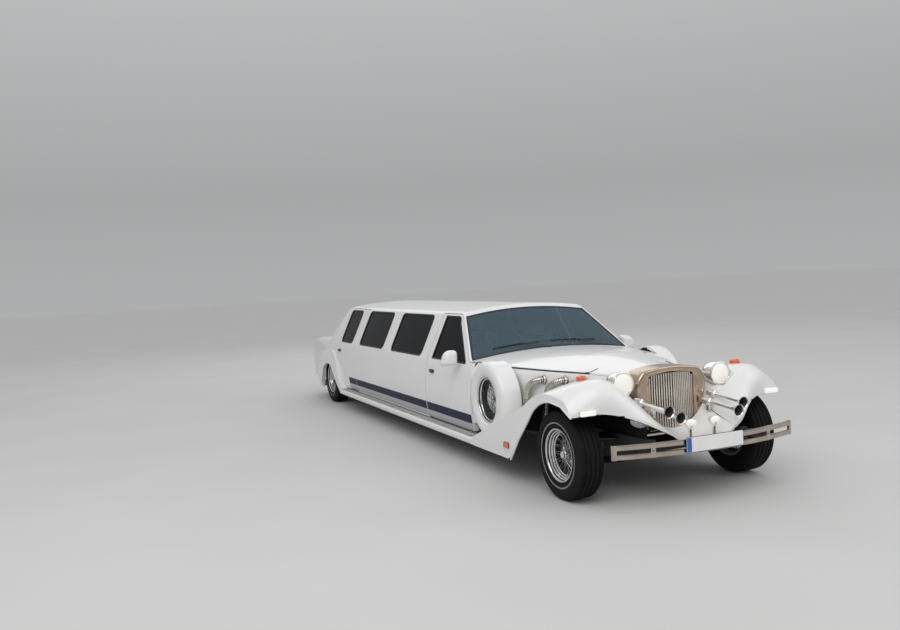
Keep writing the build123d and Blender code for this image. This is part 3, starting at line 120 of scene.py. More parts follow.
finish = {
    "paint": material("whiteCoachPaint", (0.78, 0.78, 0.77), rough=0.34, coat=0.5, vary=0.015, grain=1.5,
                      bump=0.03, bumpSize=400.0, roughVary=0.04),
    "navy": material("navyStripePaint", (0.009, 0.015, 0.042), rough=0.45, vary=0.1, grain=8,
                     Specular_IOR_Level=0.15),
    "silver": material("silverStripePaint", (0.45, 0.46, 0.47), rough=0.32, metal=0.35, coat=0.5, vary=0.05),
    "chrome": material("brightPlating", (0.83, 0.82, 0.8), rough=0.09, metal=1.0, vary=0.02, roughVary=0.03),
    "shell": material("radiatorShellPlating", (0.52, 0.41, 0.31), rough=0.16, metal=1.0, vary=0.12, grain=9,
                      roughVary=0.05),
    "bars": material("grilleBarPlating", (0.8, 0.75, 0.68), rough=0.24, metal=1.0, vary=0.06),
    "wire": material("wireWheelPlating", (0.7, 0.7, 0.7), rough=0.12, metal=1.0, vary=0.04),
    "spoke": material("wheelWirePlating", (0.42, 0.42, 0.43), rough=0.2, metal=1.0, vary=0.1, grain=30),
    # painted shade: dark metal for the wheels' shaded flats and barrels, and the discs behind the spares
    "barrel": material("wheelBarrelShade", (0.05, 0.052, 0.056), rough=0.35, metal=0.8, vary=0.25, grain=20),
    "tyre": material("tyreRubber", (0.007, 0.007, 0.0075), rough=0.8, vary=0.25, grain=14, bump=0.4,
                     bumpSize=220, Specular_IOR_Level=0.22),
    "ring": material("tyreRingRubber", (0.24, 0.24, 0.235), rough=0.6, vary=0.1, grain=30),
    # black underseal, which also stands as painted shade in the wheel arches and under the wings
    "underseal": material("blackUndersealAndShade", (0.009, 0.009, 0.01), rough=0.85, vary=0.25, grain=25, bump=0.6,
                          bumpSize=180, Specular_IOR_Level=0.2),
    "chassis": material("chassisPaint", (0.03, 0.03, 0.032), rough=0.55, vary=0.25, grain=9, bump=0.2),
    "steel": material("dullSteel", (0.3, 0.29, 0.28), rough=0.45, metal=1.0, vary=0.15, grain=12, bump=0.15),
    "iron": material("engineIron", (0.12, 0.12, 0.125), rough=0.6, metal=0.6, vary=0.2, grain=15, bump=0.4),
    "rubber": material("blackSealRubber", (0.015, 0.015, 0.016), rough=0.65, vary=0.2, grain=40, bump=0.2),
    "trim": material("cabinTrim", (0.05, 0.05, 0.055), rough=0.6, vary=0.12, grain=20, bump=0.12,
                     bumpSize=500),
    "leather": material("blackSeatLeather", (0.04, 0.038, 0.04), rough=0.5, vary=0.15, grain=18, bump=0.5,
                        bumpSize=260),
    "carpet": material("cabinCarpet", (0.045, 0.045, 0.05), rough=0.95, vary=0.25, grain=60, bump=0.8,
                       bumpSize=900),
    "wood": material("walnutVeneer", (0.16, 0.07, 0.03), rough=0.3, coat=0.8, vary=0.35, grain=8),
    "amber": material("amberLampPlastic", (0.85, 0.14, 0.01), rough=0.2, coat=0.4, vary=0.08, grain=40,
                      Transmission_Weight=0.15),
    "red": material("redLampPlastic", (0.5, 0.015, 0.012), rough=0.2, coat=0.5, vary=0.1, grain=40,
                    Transmission_Weight=0.3),
    "lampWhite": material("whiteLampPlastic", (0.86, 0.85, 0.8), rough=0.2, coat=0.5, vary=0.04, grain=40,
                          Emission_Color=(1.0, 0.97, 0.94, 1.0), Emission_Strength=0.3),
    "lampGlass": material("flutedLampGlass", (0.95, 0.95, 0.92), rough=0.08, vary=0.02,
                          Transmission_Weight=0.75, IOR=1.45),
    "darkGlass": material("tintedGlass", (0.004, 0.005, 0.006), rough=0.04, vary=0.1, roughVary=0.02,
                          Transmission_Weight=0.15, IOR=1.13),
    "clearGlass": material("windscreenGlass", (0.42, 0.6, 0.7), rough=0.03, vary=0.02, roughVary=0.02,
                           Transmission_Weight=0.9, IOR=1.16),
    # painted light: a faint glow gives the headlamp glass its bright look
    "headGlass": material("lampFrontGlass", (0.97, 0.96, 0.91), rough=0.12, vary=0.02, coat=0.4,
                          Transmission_Weight=0.2, IOR=1.45, Emission_Color=(1.0, 0.96, 0.88, 1.0),
                          Emission_Strength=0.16),
    "mirrorGlass": material("mirrorGlass", (0.75, 0.78, 0.8), rough=0.03, metal=1.0, vary=0.02,
                            roughVary=0.01),
    "bumperPlating": material("bumperPlating", (0.5, 0.43, 0.37), rough=0.18, metal=1.0, vary=0.12, grain=7,
                              roughVary=0.05),
    "pipe": material("ribbedPipePlating", (0.62, 0.58, 0.54), rough=0.14, metal=1.0, vary=0.06),
    "pipeShade": material("pipeGrooveShade", (0.06, 0.055, 0.052), rough=0.4, metal=0.7, vary=0.2, grain=40),
    "handle": material("blackHandle", (0.03, 0.03, 0.032), rough=0.4, coat=0.3, vary=0.15, grain=30),
    "boardRubber": material("greyBoardRubber", (0.36, 0.36, 0.35), rough=0.7, vary=0.15, grain=12, bump=0.3),
    "castAlloy": material("castAlloy", (0.5, 0.5, 0.49), rough=0.45, metal=0.9, vary=0.1, grain=14, bump=0.3),
    "headliner": material("paleHeadliner", (0.5, 0.49, 0.46), rough=0.9, vary=0.05, grain=20, bump=0.4,
                          bumpSize=700),
    "fogCream": material("creamLampShell", (0.8, 0.76, 0.66), rough=0.25, metal=0.25, coat=0.6, vary=0.05,
                         grain=30),
    "plate": material("blankPlate", (0.86, 0.86, 0.84), rough=0.35, coat=0.4, vary=0.03, grain=10),
    "plateBlue": material("blankPlateBand", (0.03, 0.12, 0.45), rough=0.35, coat=0.4, vary=0.06, grain=10),
}
slotFinish = {
    "white_paint": "paint", "dark_chassis": "chassis", "bright_metal": "chrome", "wire_wheel": "wire",
    "tyre": "tyre", "dark_glass": "darkGlass", "clear_glass": "clearGlass", "lamp_glass": "lampGlass",
    "amber_lamp": "amber", "red_lamp": "red", "floor_finish": "carpet", "seat_leather": "leather",
    "cabin_trim": "trim", "engine_metal": "iron", "exhaust_steel": "steel",
}


def assign(obj, mat):
    obj.data.materials.clear()
    obj.data.materials.append(mat)


for name, obj in frame["nodes"].items():
    assign(obj, finish[slotFinish[nodeSlot[name]]])


def ease(obj, width):
    # Rounds the hard edges of an object
    soften = obj.modifiers.new("ease", "BEVEL")
    soften.width = width
    soften.segments = 2
    soften.limit_method = "ANGLE"
    soften.angle_limit = radians(40)
    soften.harden_normals = True


def dressed(node, mat=None, angle=32, bevel=0.0, flatten=0.4):
    # A merged, smooth-shaded copy of a CAD node that stands for it, its hard edges eased by bevel
    source = frame["nodes"][node]
    mesh = source.data.copy()
    mesh.name = node + "Smooth"
    shape = bmesh.new()
    shape.from_mesh(mesh)
    bmesh.ops.remove_doubles(shape, verts=shape.verts, dist=2e-5)
    bmesh.ops.dissolve_degenerate(shape, edges=shape.edges, dist=1e-6)
    if flatten:
        bmesh.ops.dissolve_limit(shape, angle_limit=radians(flatten), verts=shape.verts, edges=shape.edges)
    shape.to_mesh(mesh)
    shape.free()
    obj = bpy.data.objects.new(node + "Dressed", mesh)
    bpy.context.scene.collection.objects.link(obj)
    assign(obj, mat or finish[slotFinish[nodeSlot[node]]])
    mesh.shade_smooth()
    mesh.set_sharp_from_angle(angle=radians(angle))
    if bevel:
        ease(obj, bevel)
    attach(obj, nodeBody[node])
    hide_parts(node)
    return obj


print("materials and frame ready")


# Shapes are (points, faces, index of the finish in the piece's list), in metres


def gridFaces(rows, columns, closeRows=False, closeColumns=False):
    # Quads between neighbouring points of a sheet laid out row by row
    i = np.arange(rows if closeRows else rows - 1)
    j = np.arange(columns if closeColumns else columns - 1)
    i, j = (index.ravel() for index in np.meshgrid(i, j, indexing="ij"))
    nextI, nextJ = (i + 1) % rows, (j + 1) % columns
    return np.stack([i * columns + j, nextI * columns + j, nextI * columns + nextJ, i * columns + nextJ],
                    axis=1)


def unit(rows):
    return rows / np.linalg.norm(rows, axis=-1, keepdims=True)


def turned(profile, centre=(0, 0, 0), axis=(0, 1, 0), around=64, closed=False, mat=0):
    # Rows of (along, radius) turned about an axis: point = centre + along * axis + radius * spoke
    axis = Vector(axis).normalized()
    side = np.array(axis.orthogonal().normalized())
    axis = np.array(axis)
    turn = np.linspace(0, 2 * pi, around, endpoint=False)
    spoke = np.outer(np.cos(turn), side) + np.outer(np.sin(turn), np.cross(axis, side))
    profile = np.array(profile, float)
    points = np.array(centre) + profile[:, None, :1] * axis + profile[:, None, 1:] * spoke[None]
    return points.reshape(-1, 3), gridFaces(len(profile), around, closed, True), mat


def sweep(path, section, up=(0, 0, 1), closed=False, mat=0, swell=None):
    # A section of (side, height) rows carried along a path with its height towards up, grown by swell
    path = np.array(path, float)
    along = np.roll(path, -1, 0) - np.roll(path, 1, 0) if closed else np.gradient(path, axis=0)
    side = unit(np.cross(unit(along), np.broadcast_to(np.array(up, float), path.shape)))
    rise = unit(np.cross(side, along))
    section = np.array(section, float)
    grow = np.ones(len(path)) if swell is None else np.array(swell, float)
    spread = section[None, :, :1] * side[:, None] + section[None, :, 1:] * rise[:, None]
    points = path[:, None] + spread * grow[:, None, None]
    count = len(section)
    faces = gridFaces(len(path), count, closed, True).tolist()
    if not closed:
        faces += [list(range(count))[::-1], list(range((len(path) - 1) * count, len(path) * count))]
    return points.reshape(-1, 3), faces, mat


def circle(radius, count=12):
    turn = np.linspace(0, 2 * pi, count, endpoint=False)
    return np.stack([np.cos(turn), np.sin(turn)], axis=1) * radius


def tube(path, radius, count=12, closed=False, mat=0, up=(0, 0, 1), swell=None):
    return sweep(path, circle(radius, count), up, closed, mat, swell)


def slab(corners, shift, mat=0):
    # A closed outline of corners, thickened by a shift
    corners = np.array(corners, float)
    count = len(corners)
    points = np.vstack([corners, corners + np.array(shift)])
    i = np.arange(count)
    j = (i + 1) % count
    sides = np.stack([i, j, j + count, i + count], axis=1).tolist()
    return points, sides + [list(range(count))[::-1], list(range(count, 2 * count))], mat


def block(low, high, mat=0):
    (x0, y0, z0), (x1, y1, z1) = low, high
    return slab([(x0, y0, z0), (x1, y0, z0), (x1, y1, z0), (x0, y1, z0)], (0, 0, z1 - z0), mat)


def skin(outer, inner, mat=0):
    # A closed thin body between two sheets of the same rows x columns of points
    rows, columns = outer.shape[:2]
    count = rows * columns
    faces = gridFaces(rows, columns)
    rim = np.concatenate([
        np.arange(columns - 1), np.arange(columns - 1, count - 1, columns),
        np.arange(count - 1, count - columns, -1), np.arange(count - columns, 0, -columns),
    ])
    after = np.roll(rim, -1)
    edge = np.stack([rim, after, after + count, rim + count], axis=1)
    points = np.vstack([outer.reshape(-1, 3), inner.reshape(-1, 3)])
    return points, np.vstack([faces, faces[:, ::-1] + count, edge]), mat


def moved(shape, shift=(0, 0, 0), flip=(1, 1, 1)):
    points, faces, mat = shape
    return points * np.array(flip) + np.array(shift), faces, mat


def roundedSlab(xs, ys, zs, corner, mat=0):
    # A plate facing along X with round corners, from the first X to the second
    (y0, y1), (z0, z1), k = ys, zs, corner * (1 - cos(pi / 4))
    plan = outline([(y0 + corner, z0), (y1 - corner, z0), ((y1 - k, z0 + k), (y1, z0 + corner)),
                    (y1, z1 - corner), ((y1 - k, z1 - k), (y1 - corner, z1)), (y0 + corner, z1),
                    ((y0 + k, z1 - k), (y0, z1 - corner)),
                    (y0, z0 + corner), ((y0 + k, z0 + k), (y0 + corner, z0))], 5)[:-1]
    return slab([(xs[0], y, z) for y, z in plan], (xs[1] - xs[0], 0, 0), mat)


sides = (("left", 1), ("right", -1))


def onHand(shapes, hand):
    # Shapes of the left side, mirrored where the hand is -1
    return [moved(shape, flip=(1, hand, 1)) for shape in shapes]


def bothSides(*shapes):
    return list(shapes) + onHand(shapes, -1)


def arc(start, through, end, count=12):
    # Points of the circle through three plane points, from the first to the last
    (ax, ay), (bx, by), (cx, cy) = start, through, end
    d = 2 * (ax * (by - cy) + bx * (cy - ay) + cx * (ay - by))
    sa, sb, sc = ax * ax + ay * ay, bx * bx + by * by, cx * cx + cy * cy
    ox = (sa * (by - cy) + sb * (cy - ay) + sc * (ay - by)) / d
    oy = (sa * (cx - bx) + sb * (ax - cx) + sc * (bx - ax)) / d
    first, mid, last = (atan2(y - oy, x - ox) for x, y in (start, through, end))
    sweepTo = (last - first) % (2 * pi)
    if (mid - first) % (2 * pi) > sweepTo:
        sweepTo -= 2 * pi
    turn = first + sweepTo * np.linspace(0, 1, count + 1)
    radius = hypot(ax - ox, ay - oy)
    return np.stack([ox + radius * np.cos(turn), oy + radius * np.sin(turn)], axis=1)


def outline(steps, count=10):
    # Plane points along steps: a corner is reached straight, a (through, end) pair by an arc
    points = [np.array([steps[0]], float)]
    here = steps[0]
    for step in steps[1:]:
        if isinstance(step[0], tuple):
            points.append(arc(here, *step, count)[1:])
            here = step[1]
        else:
            points.append(np.linspace(here, step, count + 1)[1:])
            here = step
    return np.vstack(points)


def bentPath(corners, radius, step=0.006):
    # A path through corners, each inner one rounded by a quadratic bend that starts radius before it
    corners = np.array(corners, float)
    path = [corners[:1]]
    for i in range(1, len(corners) - 1):
        before, corner, after = corners[i - 1:i + 2]
        start = corner + unit(before - corner) * radius
        end = corner + unit(after - corner) * radius
        t = np.linspace(0, 1, 9)[:, None]
        path.append((1 - t) ** 2 * start + 2 * t * (1 - t) * corner + t * t * end)
    path = np.vstack(path + [corners[-1:]])
    run = np.concatenate([[0], np.cumsum(np.linalg.norm(np.diff(path, axis=0), axis=1))])
    at = np.linspace(0, run[-1], max(3, int(run[-1] / step)))
    return np.stack([np.interp(at, run, path[:, k]) for k in range(3)], axis=1)


def piece(name, body, shapes, mats, angle=35, bevel=0.0, stands=()):
    # One object from shapes, welded and turned outward, that rides on a body and may stand for CAD nodes
    points, faces, which, start = [], [], [], 0
    for shapePoints, shapeFaces, mat in shapes:
        points.append(shapePoints)
        faces += [[corner + start for corner in face] for face in (
            shapeFaces.tolist() if isinstance(shapeFaces, np.ndarray) else shapeFaces)]
        which += [mat] * len(shapeFaces) if isinstance(mat, int) else list(mat)
        start += len(shapePoints)
    mesh = bpy.data.meshes.new(name)
    mesh.from_pydata(np.vstack(points).tolist(), [], faces)
    mesh.polygons.foreach_set("material_index", which)
    shape = bmesh.new()
    shape.from_mesh(mesh)
    bmesh.ops.remove_doubles(shape, verts=shape.verts, dist=1e-5)
    bmesh.ops.dissolve_degenerate(shape, edges=shape.edges, dist=1e-6)
    bmesh.ops.recalc_face_normals(shape, faces=shape.faces)
    shape.to_mesh(mesh)
    shape.free()
    obj = bpy.data.objects.new(name, mesh)
    bpy.context.scene.collection.objects.link(obj)
    for mat in mats:
        mesh.materials.append(finish[mat])
    mesh.shade_smooth()
    mesh.set_sharp_from_angle(angle=radians(angle))
    if bevel:
        ease(obj, bevel)
    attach(obj, body)
    if stands:
        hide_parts(*stands)
    return obj


# Wheels, made about the Y axis with the outer face towards +Y
tyre = {
    "radius": 0.3556, "shoulder": 0.085, "edge": 0.092, "shoulderDrop": 0.0035, "bow": 0.35,
    "pitches": 72, "perPitch": 4, "lean": 3.2,
    "grooves": (-0.058, -0.021, 0.021, 0.058), "grooveHalf": 0.0036, "grooveWall": 0.0012,
    "grooveDepth": 0.007,
    # share of a pitch from and to, Y from and to, depth
    "slots": [(0.0, 0.26, 0.064, 1.0, 0.005), (0.5, 0.76, 0.026, 0.052, 0.0035)],
    "across": [0.01, 0.03, 0.04, 0.0635, 0.0645, 0.07, 0.078, 0.085, 0.092],
    # Y, radius from the bead to the shoulder; the pale ring lies between its rows 7 and 8
    "wall": [(0.09, 0.1972), (0.0935, 0.2035), (0.0925, 0.2125), (0.0955, 0.221), (0.1, 0.231),
             (0.1045, 0.242), (0.107, 0.2504), (0.1082, 0.251), (0.1093, 0.2615), (0.1085, 0.2621),
             (0.1105, 0.272), (0.1122, 0.284), (0.1118, 0.299), (0.1095, 0.315), (0.1055, 0.329),
             (0.1, 0.3405), (0.0965, 0.346)],
    "ringRow": 8,
}


def tyreShape():
    # Tread radius: the crown falls off by the square of Y, less the depth of grooves and slanted slots
    columns = tyre["pitches"] * tyre["perPitch"]
    turn = np.linspace(0, 2 * pi, columns, endpoint=False)
    half, lip = tyre["grooveHalf"], tyre["grooveHalf"] + tyre["grooveWall"]
    marks = [g + d for g in tyre["grooves"] for d in (-lip, -half, half, lip)]
    y = np.array(sorted(marks + [0.0] + tyre["across"] + [-a for a in tyre["across"]]))
    past = np.clip((abs(y) - tyre["shoulder"]) / (tyre["edge"] - tyre["shoulder"]), 0, 1)
    crown = tyre["radius"] - tyre["bow"] * y ** 2 - tyre["shoulderDrop"] * past
    inGroove = np.any(abs(y[:, None] - np.array(tyre["grooves"])) <= half + 1e-6, axis=1)
    phase = (turn[None] * tyre["pitches"] / (2 * pi) + tyre["lean"] * y[:, None] / tyre["edge"]) % 1
    depth = np.where(inGroove[:, None], tyre["grooveDepth"], 0.0)
    for start, end, near, far, deep in tyre["slots"]:
        reach = (abs(y[:, None]) > near) & (abs(y[:, None]) < far)
        depth = np.maximum(depth, ((phase > start) & (phase < end) & reach) * deep)
    radius = crown[:, None] - depth
    wall = np.array(tyre["wall"])
    ys = np.concatenate([-wall[:, 0], y, wall[::-1, 0]])
    rs = np.vstack([np.repeat(wall[:, 1:], columns, 1), radius, np.repeat(wall[::-1, 1:], columns, 1)])
    points = np.stack([rs * np.cos(turn), np.repeat(ys[:, None], columns, 1), rs * np.sin(turn)], axis=2)
    rows = len(ys)
    faces = gridFaces(rows, columns, True, True)
    mat = np.where(faces[:, 0] // columns == rows - 1 - tyre["ringRow"], 1, 0)
    return points.reshape(-1, 3), faces, mat.tolist()


rim = {
    "profile": [
        (0.1, 0.2115), (0.1012, 0.2085), (0.1005, 0.2045), (0.0975, 0.2), (0.0925, 0.1965), (0.086, 0.1945),
        (0.0785, 0.1935), (0.0755, 0.1895), (0.0735, 0.1855), (0.068, 0.1835), (0.0605, 0.1825),
        (0.0575, 0.1785), (0.0555, 0.1745), (0.05, 0.1725), (0.044, 0.1715), (0.041, 0.1675), (0.038, 0.1635),
        (0.032, 0.1618), (-0.026, 0.161), (-0.0335, 0.18), (-0.04, 0.187), (-0.0925, 0.188), (-0.1, 0.191),
        (-0.1, 0.2115), (-0.0935, 0.2115), (-0.0915, 0.1965), (0.0915, 0.1965), (0.0935, 0.2115)],
    "hub": [(-0.028, 0.0185), (-0.028, 0.044), (-0.022, 0.0455), (-0.014, 0.0455), (-0.008, 0.037),
            (0.0, 0.0315), (0.032, 0.0295), (0.04, 0.0335), (0.049, 0.0335), (0.0535, 0.0295),
            (0.0545, 0.0275), (0.058, 0.029), (0.0655, 0.0285), (0.0705, 0.0235), (0.0725, 0.0165),
            (0.0735, 0.0)],
    # wires: how many, hub place and radius, rim place and radius, lead in turns
    "wires": [(32, 0.0445, 0.031, 0.014, 0.1625, 0.085), (32, -0.018, 0.043, 0.03, 0.163, 0.07)],
    "wire": 0.0019, "nipple": 0.0032,
    # rows of the profile painted dark as shade: the flats between the steps, and the barrel behind the wires
    "shade": [4, 5, 9, 13, 16, 17, 18, 19, 20, 21],
    # more of them on the spare wheels, which lie in the shade of their covers
    "spareShade": [10, 11, 12, 14, 15],
    # a spare wheel's rim ends here, in front of a disc painted dark as shade
    "spareFront": 19, "spareBack": [(-0.026, 0.1965), (0.0915, 0.1965), (0.0935, 0.2115)],
    "disc": [(-0.0275, 0.0), (-0.0275, 0.166), (-0.0255, 0.166), (-0.0255, 0.0)],
}


def wheelShapes(whole=True):
    # The stepped rim, the hub and two rows of wires that lean to and fro, each with its nipple
    around, profile, shaded = 96, rim["profile"], rim["shade"]
    if not whole:
        profile, shaded = profile[:rim["spareFront"]] + rim["spareBack"], shaded + rim["spareShade"]
    points, faces, _ = turned(profile, around=around, closed=True)
    shade = np.where(np.isin(faces[:, 0] // around, shaded), 2, 0)
    shapes = [(points, faces, shade.tolist()), turned(rim["hub"], around=40)]
    if not whole:
        shapes.append(turned(rim["disc"], around=48, mat=2))
    for count, hubY, hubR, rimY, rimR, lead in rim["wires"]:
        for i in range(count):
            turn = 2 * pi * i / count
            lean = turn + 2 * pi * lead * (1 if i % 2 else -1)
            start = np.array([hubR * cos(turn), hubY - 0.004 * (i % 2), hubR * sin(turn)])
            end = np.array([rimR * cos(lean), rimY - 0.009 * (i % 2), rimR * sin(lean)])
            shapes.append(tube([start, end], rim["wire"], 6, up=(0, 1, 0), mat=1))
            run = unit(start - end)
            shapes.append(turned([(-0.002, 0), (-0.002, rim["nipple"]), (0.008, rim["nipple"] * 0.85),
                                  (0.0095, 0)],
                                 end, run, 7))
    return shapes


tyreOne, wheelOne = tyreShape(), wheelShapes()
for end in ("front_", "rear_"):
    for side, hand in sides:
        name = end + side
        spot, turnedOut = np.array(wheelCentre[name]), (hand, hand, 1)
        piece("tyre." + name, "wheel_" + name, [moved(tyreOne, spot, turnedOut)], ["tyre", "ring"], 38,
              stands=["tyre_" + name])
        piece("wireWheel." + name, "wheel_" + name, [moved(s, spot, turnedOut) for s in wheelOne],
              ["wire", "spoke", "barrel"], 32, stands=["wire_wheel_" + name])
spareSpot = fromFront((-1.226, 0.859, 0.66))
spareShapes = [moved(s, spareSpot) for s in wheelShapes(False)]
piece("spareWheels", "car_body", bothSides(*spareShapes), ["wire", "spoke", "barrel"], 32,
      stands=["spare_wheels"])
print("wheels ready")

# Radiator: a deep plated shell round upright bars in a shallow vee
radiator = {
    "front": 0.245, "bars": 21, "reach": 0.203, "half": 0.0062, "vee": 0.042, "setIn": 0.02, "low": 0.49,
    # the bars' depth behind and round their noses; the opening's head and how it falls at the sides
    "depth": 0.016, "nose": 0.006, "head": 0.95, "fall": 0.4986, "cornerFrom": 0.196, "cornerFall": 0.016,
    "outer": [(0.296, 0.47), (0.311, 0.76), ((0.306, 0.925), (0.262, 0.972)), ((0.0, 1.0), (-0.262, 0.972)),
              ((-0.306, 0.925), (-0.311, 0.76)), (-0.296, 0.47), (0.296, 0.47)],
    "inner": [(0.213, 0.5), (0.215, 0.905), ((0.208, 0.926), (0.19, 0.932)), ((0.0, 0.95), (-0.19, 0.932)),
              ((-0.208, 0.926), (-0.215, 0.905)), (-0.213, 0.5), (0.213, 0.5)],
    # set back from the front, share of the way from the outer outline to the opening
    "rings": [(0.19, 0.0), (0.05, 0.0), (0.02, 0.0), (0.011, 0.02), (0.005, 0.07), (0.001, 0.16), (0.0, 0.27),
              (0.001, 0.7), (0.004, 0.86), (0.009, 0.95), (0.016, 1.0), (0.15, 1.0)],
}


def radiatorShell():
    # Rings of points that pass from the outer outline over the front face into the opening
    outer, inner = outline(radiator["outer"])[:-1], outline(radiator["inner"])[:-1]
    rows = []
    for back, share in radiator["rings"]:
        ring = outer + (inner - outer) * share
        rows.append(np.column_stack([np.full(len(ring), fromAxle(radiator["front"] - back)), ring]))
    points = np.array(rows)
    count = len(outer)
    faces = gridFaces(len(rows), count, False, True).tolist()
    faces += [list(range(count))[::-1], list(range((len(rows) - 1) * count, len(rows) * count))]
    return points.reshape(-1, 3), faces, 0


def grilleBars():
    # Each bar has a rounded nose; its foot and head follow the opening
    shapes = []
    reach, half = radiator["reach"], radiator["half"]
    for i in range(radiator["bars"]):
        y = -reach + 2 * reach * i / (radiator["bars"] - 1)
        vee = radiator["vee"] * (1 - abs(y) / radiator["inner"][0][0])
        nose = fromAxle(radiator["front"] - radiator["setIn"] - radiator["nose"] + vee)
        top = radiator["head"] - radiator["fall"] * y ** 2
        top -= radiator["cornerFall"] if abs(y) > radiator["cornerFrom"] else 0.0
        section = [(half * cos(a), radiator["nose"] * sin(a)) for a in np.linspace(0, pi, 7)]
        section += [(-half, -radiator["depth"]), (half, -radiator["depth"])]
        corners = [(nose + u, y + v, radiator["low"]) for v, u in section]
        shapes.append(slab(corners, (0, 0, top - radiator["low"])))
    return shapes


piece("radiatorShell", "car_body", [radiatorShell()], ["shell"], 40,
      stands=["radiator"])
piece("grilleBars", "car_body", grilleBars(), ["bars"], 50)
core = block(fromFront((0.16, -0.21, 0.5)), fromFront((0.168, 0.21, 0.94)))
piece("radiatorCore", "car_body", [core], ["rubber"])

# Headlamps
lamp = {
    "x": 0.254, "y": 0.468, "z": 0.896, "rib": 0.0006, "ribPitch": 0.0145,
    "bowl": [(-0.215, 0.0), (-0.2145, 0.006), (-0.21, 0.016), (-0.2, 0.03), (-0.182, 0.047), (-0.158, 0.064),
             (-0.13, 0.078), (-0.1, 0.088), (-0.06, 0.0945), (-0.02, 0.0965), (-0.0115, 0.0965),
             (-0.0115, 0.08), (-0.008, 0.08)],
    "rim": [(-0.0115, 0.0955), (-0.0105, 0.0985), (-0.006, 0.0995), (0.0, 0.0992), (0.0055, 0.097),
            (0.008, 0.093), (0.007, 0.0885), (0.002, 0.0855), (-0.009, 0.0855)],
    "glass": [(-0.004, 0.086), (0.0, 0.0855), (0.0045, 0.081), (0.0095, 0.068), (0.0135, 0.051),
              (0.017, 0.03), (0.0185, 0.01), (0.0188, 0.0), (0.012, 0.0), (-0.004, 0.082)],
    "mirror": [(-0.006, 0.0885), (-0.025, 0.078), (-0.05, 0.055), (-0.065, 0.025), (-0.068, 0.0),
               (-0.07, 0.0), (-0.068, 0.03), (-0.052, 0.06), (-0.027, 0.083), (-0.008, 0.0893)],
}


def lampShape(profile, closed=False, around=56):
    return turned(profile, (fromAxle(lamp["x"]), lamp["y"], lamp["z"]), (1, 0, 0), around, closed)


def flutedGlass():
    # The glass is thinned and thickened in upright ribs: its front is pushed out by a wave over Y
    points, faces, mat = lampShape(lamp["glass"], True, 72)
    front = points[:, 0] > fromAxle(lamp["x"]) + 0.003
    points[front, 0] += lamp["rib"] * np.cos((points[front, 1] - lamp["y"]) * 2 * pi / lamp["ribPitch"])
    return points, faces, mat


piece("headlampBowls", "car_body", bothSides(lampShape(lamp["bowl"]), lampShape(lamp["rim"], True),
                                             lampShape(lamp["mirror"])),
      ["chrome"], 30, stands=["headlamps"])
piece("headlampGlass", "car_body", bothSides(flutedGlass()), ["headGlass"], 60,
      stands=["headlamp_lenses"])

# Horns: two trumpets a side
horn = {
    # tail and mouth of each, from the front axle
    "runs": [((0.25, 0.352, 0.752), (0.664, 0.345, 0.716)), ((0.292, 0.268, 0.7), (0.7, 0.268, 0.668))],
    # ahead of the tail, radius
    "body": [(0.0, 0.0), (0.0, 0.026), (0.003, 0.0295), (0.012, 0.03), (0.058, 0.03), (0.067, 0.0285),
             (0.071, 0.022), (0.078, 0.014), (0.086, 0.0115), (0.18, 0.013)],
    # behind the mouth, radius; the rows from the throat on are the dark inside
    "bell": [(0.13, 0.0155), (0.09, 0.018), (0.062, 0.0215), (0.038, 0.0275), (0.018, 0.036), (0.006, 0.0435),
             (0.0015, 0.0468), (0.0, 0.0465), (0.001, 0.0445)],
    "throat": [(0.008, 0.0405), (0.02, 0.033), (0.04, 0.0245), (0.064, 0.0185), (0.09, 0.015), (0.09, 0.0)],
}


def hornShape(tail, mouth, around=36):
    run = np.array(mouth) - np.array(tail)
    length = np.linalg.norm(run)
    profile = horn["body"] + [(length - back, radius) for back, radius in horn["bell"] + horn["throat"]]
    points, faces, _ = turned(profile, fromFront(tail), run, around)
    dark = faces[:, 0] // around >= len(horn["body"]) + len(horn["bell"])
    return points, faces, dark.astype(int).tolist()


piece("horns", "car_body", bothSides(*[hornShape(*row) for row in horn["runs"]]), ["chrome", "chassis"], 40,
      stands=["horns"])
print("radiator, lamps and horns ready")

# Bumpers: twin bars of crowned section with straps, bolts and arms
bumper = {
    "end": 0.76, "low": 0.41, "height": 0.039, "gap": 0.03, "thick": 0.014, "half": 0.833, "sweep": 0.13,
    # across the bar: outward, height above its middle
    "section": [(-0.014, -0.0195), (-0.003, -0.0195), (-0.0005, -0.0178), (0.0005, -0.012), (0.001, 0.0),
                (0.0005, 0.012), (-0.0005, 0.0178), (-0.003, 0.0195), (-0.014, 0.0195), (-0.0115, 0.0)],
    # Y and half-width of the end straps and of the bolted ones, how far they stand out and reach back
    "endStrap": (0.82, 0.015), "boltStrap": (0.535, 0.019), "out": 0.002, "back": 0.018, "lap": 0.001,
    "bolt": [(0.0, 0.0), (0.0, 0.0085), (0.004, 0.0085), (0.0062, 0.006), (0.007, 0.0)],
    # Y of the arms at the frame and at the bar, their height above the bar's foot and their depth
    "armFrame": (0.415, 0.455), "armBar": (0.52, 0.55), "armUp": 0.02, "armDepth": 0.06,
}


def bumperFront(x, direction, y):
    # X of the bars' face at Y: the ends sweep back by the square of Y
    return x - direction * bumper["sweep"] * (y / bumper["half"]) ** 2


